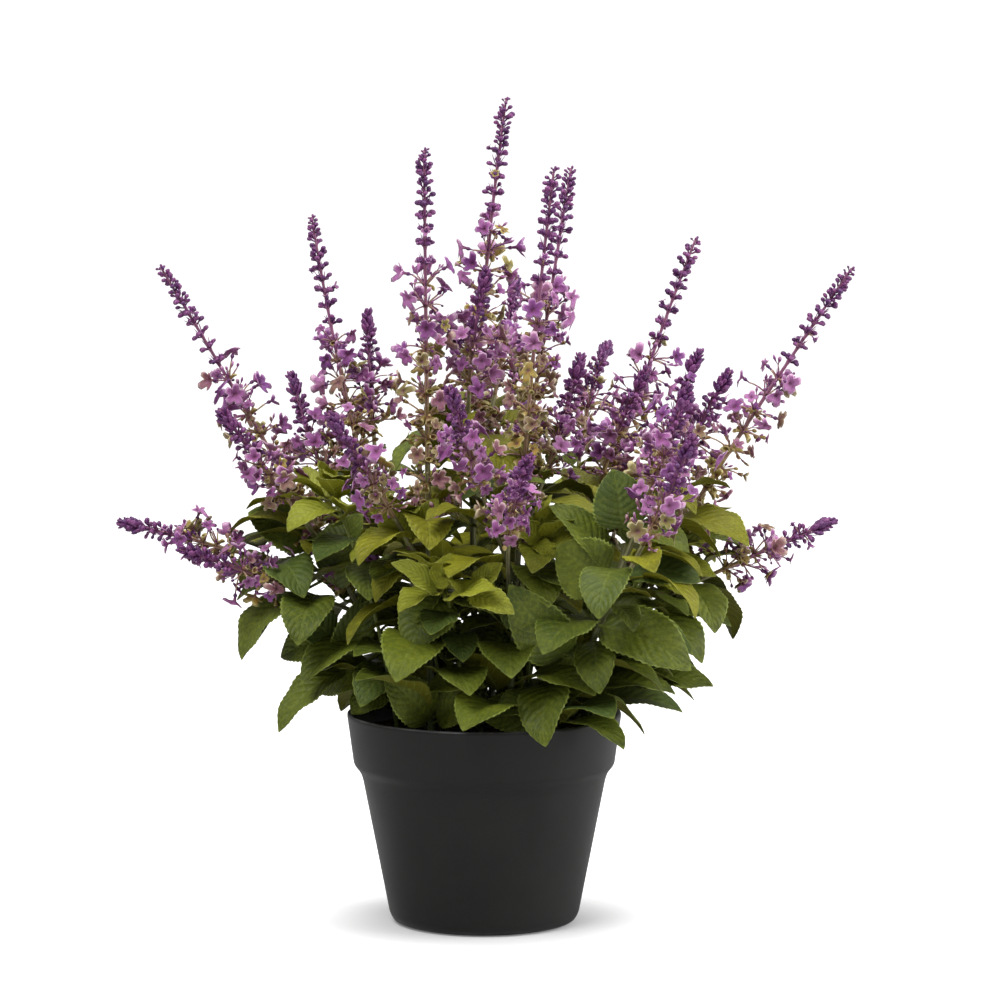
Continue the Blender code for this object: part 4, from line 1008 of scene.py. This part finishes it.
TALL_TIP = (3.0, 28.0, 2.6, 4)
TALL_BUDS = ((31, 6), (37, 6), (44, 6), (52, 7), (61, 7))
TALL_BLOOMS = (72, 83, 94, 106, 118, 130, 142, 154, 166, 178, 189, 200)
SHORT_TIP = (4.0, 17.0, 1.9, 5)
SHORT_BUDS = ((19.5, 5), (23, 5), (27, 4), (31.5, 4), (36.5, 4))
SHORT_BLOOMS = (42, 49, 57, 66)
TALL_FADES, SHORT_FADES = (82, 132), (38, 108)
YOUNG = 0.3


def revolved(profile, columns, end=1.0):
    """A shape turned about its own long axis from (share of length, half width) rings, between a
    point at 0 and one at the end: points, faces and marks, the first mark the share of length."""
    turns = np.arange(columns) * 2 * math.pi / columns
    along, wide = np.array(profile, float).T[..., None]
    rings = np.stack(np.broadcast_arrays(wide * np.cos(turns), wide * np.sin(turns), along), -1)
    points = np.vstack([rings.reshape(-1, 3), [(0, 0, 0), (0, 0, end)]])
    marks = np.zeros_like(points)
    marks[:, 0] = points[:, 2]
    return points, tube_faces(len(profile), columns), marks


def flower(*lobes):
    """An open flower as one closed tube: up a narrow neck, out under the lobes to their rim and
    back in to the throat. Each lobe is (degrees round, half spread, reach, curl), and across its
    spread it reaches reach * (0.56, 0.93, 1, 0.93, 0.56) and rises by curl * reach^2. The first
    mark goes from 0 at the foot and throat to 1 at the rim."""
    across = np.array([-1, -0.55, 0, 0.55, 1])
    middle, spread, reach, curl = np.array(lobes, float).T[..., None]
    turns = np.radians(middle + spread * across).ravel()
    reach = (reach * np.array([0.56, 0.93, 1.0, 0.93, 0.56])).ravel()
    curl = (curl + 0 * across).ravel()
    rows = np.array((
        (0.02, 0.06, 0, 0), (0.62, 0.12, 0.02, 0.2), (0.74, 0.11, 0.55, 0.75),
        (0.80, 0.06, 0.95, 1), (0.77, 0.10, 0.55, 0.6), (0.55, 0.05, 0.02, 0.05),
    ))
    rise, neck, open_share, shade = rows.T[..., None]
    radius = neck + open_share * reach
    spots = radius * np.cos(turns), radius * np.sin(turns), rise + curl * radius**2
    rings = np.stack(np.broadcast_arrays(*spots), -1)
    points = np.vstack([rings.reshape(-1, 3), [(0, 0, 0), (0, 0, 0.5)]])
    marks = np.zeros_like(points)
    marks[:-2, 0] = np.broadcast_to(shade, radius.shape).ravel()
    return points, tube_faces(len(rows), len(turns)), marks


CLUB = revolved(((0.03, 0.15), (0.40, 0.17), (0.58, 0.40), (0.80, 0.47), (0.96, 0.24)), 6)
SCALE = revolved(((0.05, 0.22), (0.30, 0.42), (0.62, 0.48), (0.88, 0.29)), 6)
SPOON = revolved(((0.04, 0.10), (0.40, 0.16), (0.68, 0.42), (0.88, 0.36), (0.97, 0.12)), 6)
NEEDLE = revolved(((0.05, 0.05), (0.35, 0.055), (0.75, 0.035)), 4)
CUP = revolved(((0.04, 0.12), (0.30, 0.32), (0.66, 0.42), (0.93, 0.52), (0.99, 0.47), (0.70, 0.33)), 8, 0.42)
BERRY = revolved(((0.06, 0.16), (0.30, 0.40), (0.60, 0.48), (0.88, 0.30)), 6)
STALK = revolved(((0.02, 0.62), (0.25, 0.46), (0.50, 0.42), (0.75, 0.42), (0.97, 0.52)), 5)
OPEN_FLOWERS = (
    flower((0, 43, 1.0, 0.05), (90, 43, 0.95, 0.0), (180, 43, 0.9, 0.1), (270, 43, 1.0, -0.1)),
    flower((-58, 28, 1.0, -0.2), (0, 28, 1.15, -0.3), (58, 28, 1.0, -0.2),
           (150, 29, 0.6, 0.6), (212, 29, 0.6, 0.6)),
    flower((-38, 36, 1.1, -0.15), (38, 36, 1.15, -0.25), (142, 34, 0.55, 0.8), (216, 34, 0.55, 0.8)),
    flower((-44, 42, 0.95, 0.5), (44, 42, 1.0, 0.45), (134, 42, 0.75, 0.7), (224, 42, 0.75, 0.6)),
    flower((-60, 28, 0.9, -0.45), (0, 29, 1.2, -0.55), (60, 28, 0.95, -0.45), (180, 60, 0.65, 0.3)),
    flower((0, 34, 1.0, 0.3), (72, 34, 0.95, 0.2), (144, 34, 0.9, 0.3),
           (216, 34, 0.9, 0.1), (288, 34, 1.0, 0.2)),
)


def frames(route, distance, half, turn, rise):
    """Places on a stalk and the three ways of what stands there: its side, its back and its own
    long way, which rises from square to the stalk."""
    out, way = route.out(distance, turn), route.way(distance)
    long = out * column(np.cos(rise)) + way * column(np.sin(rise))
    side = unit(np.cross(way, out))
    return route.at(distance) + out * column(half), np.stack([side, np.cross(long, side), long], -2)


def leant(ways, lean):
    """Frames whose long way is leant by the lean, kept square."""
    long = unit(ways[:, 2] + lean)
    side = unit(np.cross(ways[:, 1], long))
    return np.stack([side, np.cross(long, side), long], -2)


def spun(ways, turn):
    """Frames turned about their long way."""
    side = ways[:, 0] * column(np.cos(turn)) + ways[:, 1] * column(np.sin(turn))
    return np.stack([side, np.cross(ways[:, 2], side), ways[:, 2]], -2)


def scatter(growth, shape, places, ways, sizes, tones, finish, bow=0.0):
    """Copies of a shape on frames, each scaled by (width, depth, length) and bowed back by the
    bow times the square of the share of its length. The third mark is the copy's tone."""
    points, faces, marks = shape
    sizes = np.broadcast_to(sizes, (len(places), 3))
    local = points * sizes[:, None, :]
    local[..., 1] += np.broadcast_to(bow, len(places))[:, None] * points[:, 2] ** 2 * sizes[:, None, 2]
    grown = places[:, None] + np.einsum("npk,nkj->npj", local, ways)
    shades = np.broadcast_to(marks, grown.shape).copy()
    shades[..., 2] = np.broadcast_to(tones, len(places))[:, None]
    growth.add(grown, faces, shades, finish)


def tint(tree, value, *stops):
    """A colour that passes through stops of (place, red, green, blue)."""
    made = put(tree, "ValToRGB", {"Fac": value})
    band = made.color_ramp
    for element, (place, *colour) in zip(band.elements, (stops[0], stops[-1])):
        element.position, element.color = place, (*colour, 1)
    for place, *colour in stops[1:-1]:
        band.elements.new(place).color = (*colour, 1)
    return made.outputs["Color"]


def bloom_finish(name, build, **constants):
    """A material whose build function turns the marks and the place into a colour and a height."""
    material, tree, shader, where = finish(name, **constants)
    marks = put(tree, "Attribute", attribute_name="marks").outputs["Vector"]
    parts = put(tree, "SeparateXYZ", {0: marks}).outputs
    colour, height = build(tree, parts["X"], parts["Z"], where)
    feed(tree, shader.inputs["Base Color"], colour)
    raise_surface(tree, shader, height, 0.00015)
    return material


def bud_shades(tree, share, tone, where):
    fleck = noise(tree, where, 900.0, 3.0)
    dark = tint(tree, tone, (0, 0.074, 0.015, 0.094), (0.5, 0.130, 0.025, 0.128),
                (1, 0.205, 0.048, 0.180))
    light = tint(tree, tone, (0, 0.200, 0.085, 0.240), (1, 0.420, 0.170, 0.350))
    foot = ramp(tree, share, 0.45, 0.0, 0.0, 0.6)
    mottle = calc(tree, "MAXIMUM", foot, ramp(tree, fleck, 0.47, 0.75, 0.0, 0.85))
    return blend(tree, mottle, dark, light), fleck


def petal_shades(tree, share, tone, where):
    fleck = noise(tree, where, 500.0, 4.0)
    shade = calc(tree, "MULTIPLY_ADD", calc(tree, "SUBTRACT", fleck, 0.5), 0.22, tone)
    body = tint(tree, shade, (0, 0.175, 0.045, 0.210), (0.30, 0.270, 0.075, 0.235),
                (0.58, 0.400, 0.155, 0.350), (0.70, 0.230, 0.085, 0.120), (0.80, 0.240, 0.150, 0.085),
                (0.90, 0.210, 0.190, 0.050), (1, 0.400, 0.240, 0.045))
    # The pale rim colour is a painted highlight along the lobes' edges.
    rim = tint(tree, shade, (0, 0.520, 0.260, 0.500), (0.58, 0.780, 0.520, 0.680),
               (0.72, 0.640, 0.450, 0.410), (0.84, 0.680, 0.600, 0.360), (1, 0.700, 0.600, 0.240))
    throat = ramp(tree, share, 0.55, 0.0, 0.0, 0.75)
    petal = blend(tree, throat, body, (0.170, 0.055, 0.100, 1))
    return blend(tree, ramp(tree, share, 0.72, 0.98, 0.0, 0.88), petal, rim), fleck


def cup_shades(tree, share, tone, where):
    fleck = noise(tree, where, 700.0, 3.0)
    body = tint(tree, tone, (0, 0.160, 0.060, 0.060), (0.35, 0.260, 0.135, 0.060),
                (0.75, 0.290, 0.225, 0.055), (1, 0.420, 0.300, 0.110))
    rough_edge = ramp(tree, fleck, 0.3, 0.6, 0.4, 1.0)
    rim = calc(tree, "MULTIPLY", ramp(tree, share, 0.7, 0.98, 0.0, 0.9), rough_edge)
    return blend(tree, rim, body, (0.600, 0.520, 0.230, 1)), fleck


bud_violet = bloom_finish("bud_violet", bud_shades, Roughness=0.45, IOR=1.45)
petal_violet = bloom_finish("petal_violet", petal_shades, Roughness=0.55, IOR=1.4)
spent_cup = bloom_finish("spent_cup", cup_shades, Roughness=0.55, IOR=1.42)
# The last two colours are painted shade in the grooves and a painted highlight on the corners.
spike_stalk = grown_finish(
    "spike_stalk", stalk_streaks, STREAK_RELIEF,
    (0.400, 0.270, 0.150, 1), (0.270, 0.095, 0.190, 1), (0.130, 0.055, 0.055, 1),
    (0.680, 0.520, 0.420, 1), Roughness=0.5, IOR=1.42,
)
SPIKE_STALK, BUD, PETAL, SPENT = range(4)


class Whorls:
    """Everything that stands on one spike, drawn whorl by whorl from its own seed."""

    def __init__(self, name, route, length, base_half, tip_half):
        self.chance = np.random.default_rng(sum(ord(letter) * (i + 1) for i, letter in enumerate(name)))
        self.route, self.length = route, length
        self.base_half, self.tip_half = base_half, tip_half
        self.growth = Growth()

    def draw(self, low, high, count):
        return self.chance.uniform(low, high, count)

    def half(self, from_tip):
        return self.tip_half + (self.base_half - self.tip_half) * np.asarray(from_tip) / self.length

    def ring(self, levels, count, spread=0.5):
        """Distances from the tip and turns of count things round the stalk at each level."""
        levels = np.atleast_1d(np.asarray(levels, float))
        start = self.draw(0, 2 * math.pi, (len(levels), 1))
        turns = (start + np.arange(count) * 2 * math.pi / count).ravel()
        near = np.repeat(levels, count) + self.draw(-0.8, 0.8, len(turns))
        return near, turns + self.draw(-spread, spread, len(turns))

    def stand(self, shape, near, turns, rise, sizes, tones, finish, bow=0.0):
        places, ways = frames(self.route, self.route.length - near, self.half(near) * 0.8, turns, rise)
        scatter(self.growth, shape, places, ways, sizes, tones, finish, bow)

    def buds(self, near, turns, lengths, rise, shape=CLUB, width=0.56, bow=-0.12):
        count = len(near)
        wide = lengths * width * self.draw(0.85, 1.2, count)
        sizes = np.stack([wide, wide * 0.88, lengths], -1)
        rise = rise + self.draw(-0.28, 0.28, count)
        self.stand(shape, near, turns, rise, sizes, self.draw(0, 1, count), BUD, bow)

    def needles(self, level, count, low, high, finish):
        """Fine bracts that stand up beside the stalk."""
        near, turns = self.ring(level, count, 0.7)
        lengths = self.draw(low, high, count)
        sizes = np.stack([lengths * 0 + 7.5, lengths * 0 + 5.5, lengths], -1)
        rise = self.draw(0.85, 1.42, count)
        self.stand(NEEDLE, near, turns, rise, sizes, self.draw(0.6, 1, count), finish, 0.06)

    def heads(self, near, turns, stalks, rise, thick, tones):
        """Arched stalks that sag by their bow: where they end, and frames that point on from there."""
        count = len(stalks)
        spots, ways = frames(self.route, self.route.length - near, self.half(near) * 0.7, turns, rise)
        bows = self.draw(-0.42, 0.10, count)
        sizes = np.stack([np.full(count, thick), np.full(count, thick), stalks], -1)
        scatter(self.growth, STALK, spots, ways, sizes, tones, SPIKE_STALK, bows)
        ends = spots + ways[:, 2] * column(stalks) + ways[:, 1] * column(bows * stalks)
        return ends, leant(ways, ways[:, 1] * column(2 * bows) + self.draw(-0.35, 0.35, (count, 3)))

    def stalked_buds(self, level, count, low, high, age):
        """Round buds on thin stalks, spread like a star."""
        near, turns = self.ring(level, count)
        rise = self.draw(-0.1, 0.9, count)
        stalks = self.draw(low, high, count)
        tones = self.draw(0.3, 1.1, count) - 0.5 * age
        ends, ways = self.heads(near, turns, stalks, rise, 1.0, tones)
        spent = self.draw(0, 1, count) < age
        fresh_heads = ~spent, CLUB, (1.9, 1.7, 3.4), BUD
        spent_heads = spent, BERRY, (2.5, 2.3, 3.3), SPENT
        for some, shape, size, finish in (fresh_heads, spent_heads):
            sizes = np.array(size) * self.draw(0.8, 1.2, (some.sum(), 1))
            tones = self.draw(0, 1, some.sum())
            scatter(self.growth, shape, ends[some] - ways[some, 2] * 0.6, ways[some], sizes, tones, finish)

    def blooms(self, level, count, low, high, radius, age):
        """Open flowers on arched stalks, each out of a small cup. age is the chance that one has
        faded to maroon, olive or ochre."""
        near, turns = self.ring(level, count)
        rise = np.radians(self.draw(5, 65, count))
        stalks = self.draw(low, high, count)
        tones = self.draw(0.2, 1.0, count) - 0.4 * age
        ends, ways = self.heads(near, turns, stalks, rise, 1.1, tones)
        cup, size, made_of = (CLUB, (2.7, 2.5, 4.4), BUD) if age < YOUNG else (CUP, (2.6, 2.4, 3.4), SPENT)
        tones = self.draw(0, 0.6, count)
        scatter(self.growth, cup, ends - ways[:, 2] * 0.6, ways, size, tones, made_of)
        ways = spun(ways, self.draw(0, 2 * math.pi, count))
        kinds = self.chance.integers(0, len(OPEN_FLOWERS), count)
        radii = radius * self.draw(0.65, 1.2, count) * (1 - 0.2 * age)
        faded = self.draw(0, 1, count) < age
        faded_tones = self.draw(0.66, 0.97, count)
        tones = np.where(faded, faded_tones, self.draw(0.05, 0.64, count))
        for kind, shape in enumerate(OPEN_FLOWERS):
            some = kinds == kind
            sizes = np.stack([radii[some], radii[some] * 0.95, radii[some] * 1.15], -1)
            places = (ends + ways[:, 2] * 0.6)[some]
            scatter(self.growth, shape, places, ways[some], sizes, tones[some], PETAL)

    def spoons(self, level, count, age):
        """Closed slender flowers on thin stalks, two at the end of each."""
        near, turns = self.ring(level, count, 0.8)
        stalks = self.draw(4, 10, count)
        ends, ways = self.heads(near, turns, stalks, self.draw(0.2, 1.1, count), 0.95,
                                self.draw(0.4, 1, count))
        for lean in (-0.4, 0.4):
            lengths = self.draw(4.5, 8.0, count)
            sizes = np.stack([lengths * 0.36, lengths * 0.24, lengths], -1)
            tones = self.draw(0.1, 0.62, count) + 0.3 * age
            scatter(self.growth, SPOON, ends, leant(ways, ways[:, 0] * lean), sizes, tones, PETAL, 0.25)

    def cups(self, level, count, size):
        """Olive cups left by fallen flowers, close round the stalk."""
        near, turns = self.ring(level, count, 0.6)
        rise = self.draw(-0.3, 0.9, count)
        sizes = np.array((4.0, 3.1, 4.8)) * size * self.draw(0.7, 1.2, (count, 1))
        self.stand(CUP, near, turns, rise, sizes, self.draw(0.2, 1, count), SPENT, -0.4)


def grow_spike(name, route, length, base_half, tip, buds, blooms, tall):
    spike = Whorls(name, route, length, base_half, 0.75 if tall else 1.0)
    chance = spike.chance
    end = route.length
    levels = [level for level, _ in buds] + list(blooms)
    knots = np.array([end - level for level in levels if level < length])
    halves = (base_half * 1.02, 0.6)
    begin = end - length - 0.6
    rod(spike.growth, route, begin, end - 1.5, halves, 0.0, knots, (0.0, 1.4), SPIKE_STALK, 0.16, 3.0)
    first, last, step, count = tip
    levels = np.arange(first, last, step)
    near, turns = spike.ring(levels + chance.uniform(-0.3, 0.3, len(levels)), count)
    kept = chance.uniform(0, 1, len(near)) < (0.88 if tall else 0.97)
    near, turns = near[kept], turns[kept]
    grown = np.clip(0.55 + (near - first) / 18, 0.5, 1.0) * chance.uniform(0.8, 1.15, len(near))
    if tall:
        spike.stand(CLUB, np.array([3.6]), np.zeros(1), np.full(1, math.pi / 2), (1.9, 1.8, 3.7), 0.5, BUD)
        spike.buds(near, turns, grown * 5.2, 0.80, CLUB, 0.60)
    else:
        top = np.array([5.0, 4.4]), np.array([0, 2.0]), np.array([1.5, 1.35])
        spike.stand(SCALE, *top, (2.5, 2.3, 4.6), 0.4, BUD)
        spike.buds(near, turns, grown * 6.2, 0.95, SCALE, 0.46, 0.06)
    for level, count in buds:
        near, turns = spike.ring(level, count)
        spike.buds(near, turns, chance.uniform(4.4, 6.2, count), 0.62, CLUB, 0.60)
        spike.needles(level, 7, 3.5, 7.5, BUD)
        if chance.uniform() < 0.6:
            spike.blooms(level, 1, 2, 4, 2.7, 0.05)
    for level in blooms:
        fresh_to, spent_by = TALL_FADES if tall else SHORT_FADES
        age = min(1.0, max(0.0, (level - fresh_to) / (spent_by - fresh_to)))
        spike.blooms(level, 3 if tall and level < fresh_to else 5, 4, 12, 6.4, 0.08 + 0.80 * age)
        spike.stalked_buds(level, 4, 3, 9, age)
        spike.spoons(level, 2, age)
        spike.cups(level, round(1 + 4 * age), 0.8 + 0.35 * age)
        spike.needles(level, 4, 4, 8, SPENT if age > 0.1 else BUD)
    made = spike.growth.piece(f"flowers_of_{name}", spike_stalk, bud_violet, petal_violet, spent_cup)
    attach(made, "root")
    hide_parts(name)


for spray in sprays:
    short_routes = list(spray.shoots)
    if spray.tall:
        grow_spike(f"tall_spike_{spray.name}", spray.route, TALL_SPIKE, STEM_TOP, TALL_TIP,
                   TALL_BUDS, TALL_BLOOMS, True)
    else:
        short_routes.append(spray.route)
    for number, route in enumerate(short_routes, 1):
        grow_spike(f"short_spike_{spray.name}_{number}", route, SHORT_SPIKE, SHOOT_HALF, SHORT_TIP,
                   SHORT_BUDS, SHORT_BLOOMS, False)


# Studio. A pale floor that runs out of sight, whose glow seen by the camera is dimmed near the
# pot as a painted soft shadow round its foot, a bright even sky, three large soft lights from the
# upper left, the right and above, and the camera a little above the plant's middle.

FLOOR_REACH = 60.0
PAINTED_SHADOW_GLOWS = (0.10, 0.95)
PAINTED_SHADOW_MIDDLE = (-0.002, 0.0, 0.0)
PAINTED_SHADOW_REACH = (0.030, 0.132)
SKY_LIGHT = 0.30
CAMERA_LENS, CAMERA_PITCH = 168.8, math.radians(-6.2)


def area_light(name, place, size, power, target=(0, 0, 0.2)):
    lamp = bpy.data.lights.new(name, "AREA")
    lamp.size, lamp.energy = size, power
    holder = bpy.data.objects.new(name, lamp)
    holder.location = place
    back = holder.location - type(holder.location)(target)
    holder.rotation_euler = back.to_track_quat("Z", "Y").to_euler()
    bpy.context.scene.collection.objects.link(holder)


floor_finish, tree, shader, where = finish(
    "pale_floor", Roughness=0.8, Specular_IOR_Level=0.1, Emission_Strength=1.0,
)
seen = put(tree, "LightPath").outputs["Is Camera Ray"]
reach = put(tree, "VectorMath", {0: where, 1: PAINTED_SHADOW_MIDDLE}, operation="DISTANCE").outputs["Value"]
grain = noise(tree, where, 300.0, 2.0)
# The glow seen by the camera is dimmed within about 13 cm of the pot's foot: a painted soft shadow.
glow_with_painted_shadow = calc(tree, "MULTIPLY", seen, ramp(tree, reach, *PAINTED_SHADOW_REACH, *PAINTED_SHADOW_GLOWS))
glow_with_painted_shadow = put(tree, "CombineXYZ", {"X": glow_with_painted_shadow, "Y": glow_with_painted_shadow, "Z": glow_with_painted_shadow}).outputs[0]
feed(tree, shader.inputs["Emission Color"], glow_with_painted_shadow)
feed(tree, shader.inputs["Base Color"], blend(tree, grain, (0.50, 0.50, 0.50, 1), (0.53, 0.53, 0.53, 1)))
floor_mesh = bpy.data.meshes.new("floor")
corners = [(x * FLOOR_REACH, y * FLOOR_REACH, 0) for x, y in ((-1, -1), (1, -1), (1, 1), (-1, 1))]
floor_mesh.from_pydata(corners, [], [(0, 1, 2, 3)])
floor_mesh.materials.append(floor_finish)
floor = bpy.data.objects.new("floor", floor_mesh)
bpy.context.scene.collection.objects.link(floor)

world = bpy.data.worlds.new("studio")
bpy.context.scene.world = world
world.use_nodes = True
sky = world.node_tree.nodes["Background"]
sky.inputs["Color"].default_value = (1, 1, 1, 1)
seen = put(world.node_tree, "LightPath").outputs["Is Camera Ray"]
feed(world.node_tree, sky.inputs["Strength"], calc(world.node_tree, "MULTIPLY_ADD", seen, 1.0, SKY_LIGHT))
area_light("key", (-0.9, -1.3, 2.3), 1.3, 62)
area_light("fill", (2.0, -0.25, 1.0), 1.8, 49)
area_light("top", (0.2, 0.6, 2.4), 1.5, 30)
bpy.context.scene.view_settings.view_transform = "Standard"

lens = bpy.data.cameras.new("camera")
lens.sensor_width = 36
lens.lens = CAMERA_LENS
lens.clip_end = 100
camera = bpy.data.objects.new("camera", lens)
camera.location = (0.0085, -2.5, 0.5)
camera.rotation_euler = (math.pi / 2 + CAMERA_PITCH, 0, 0)
bpy.context.scene.collection.objects.link(camera)
bpy.context.scene.camera = camera
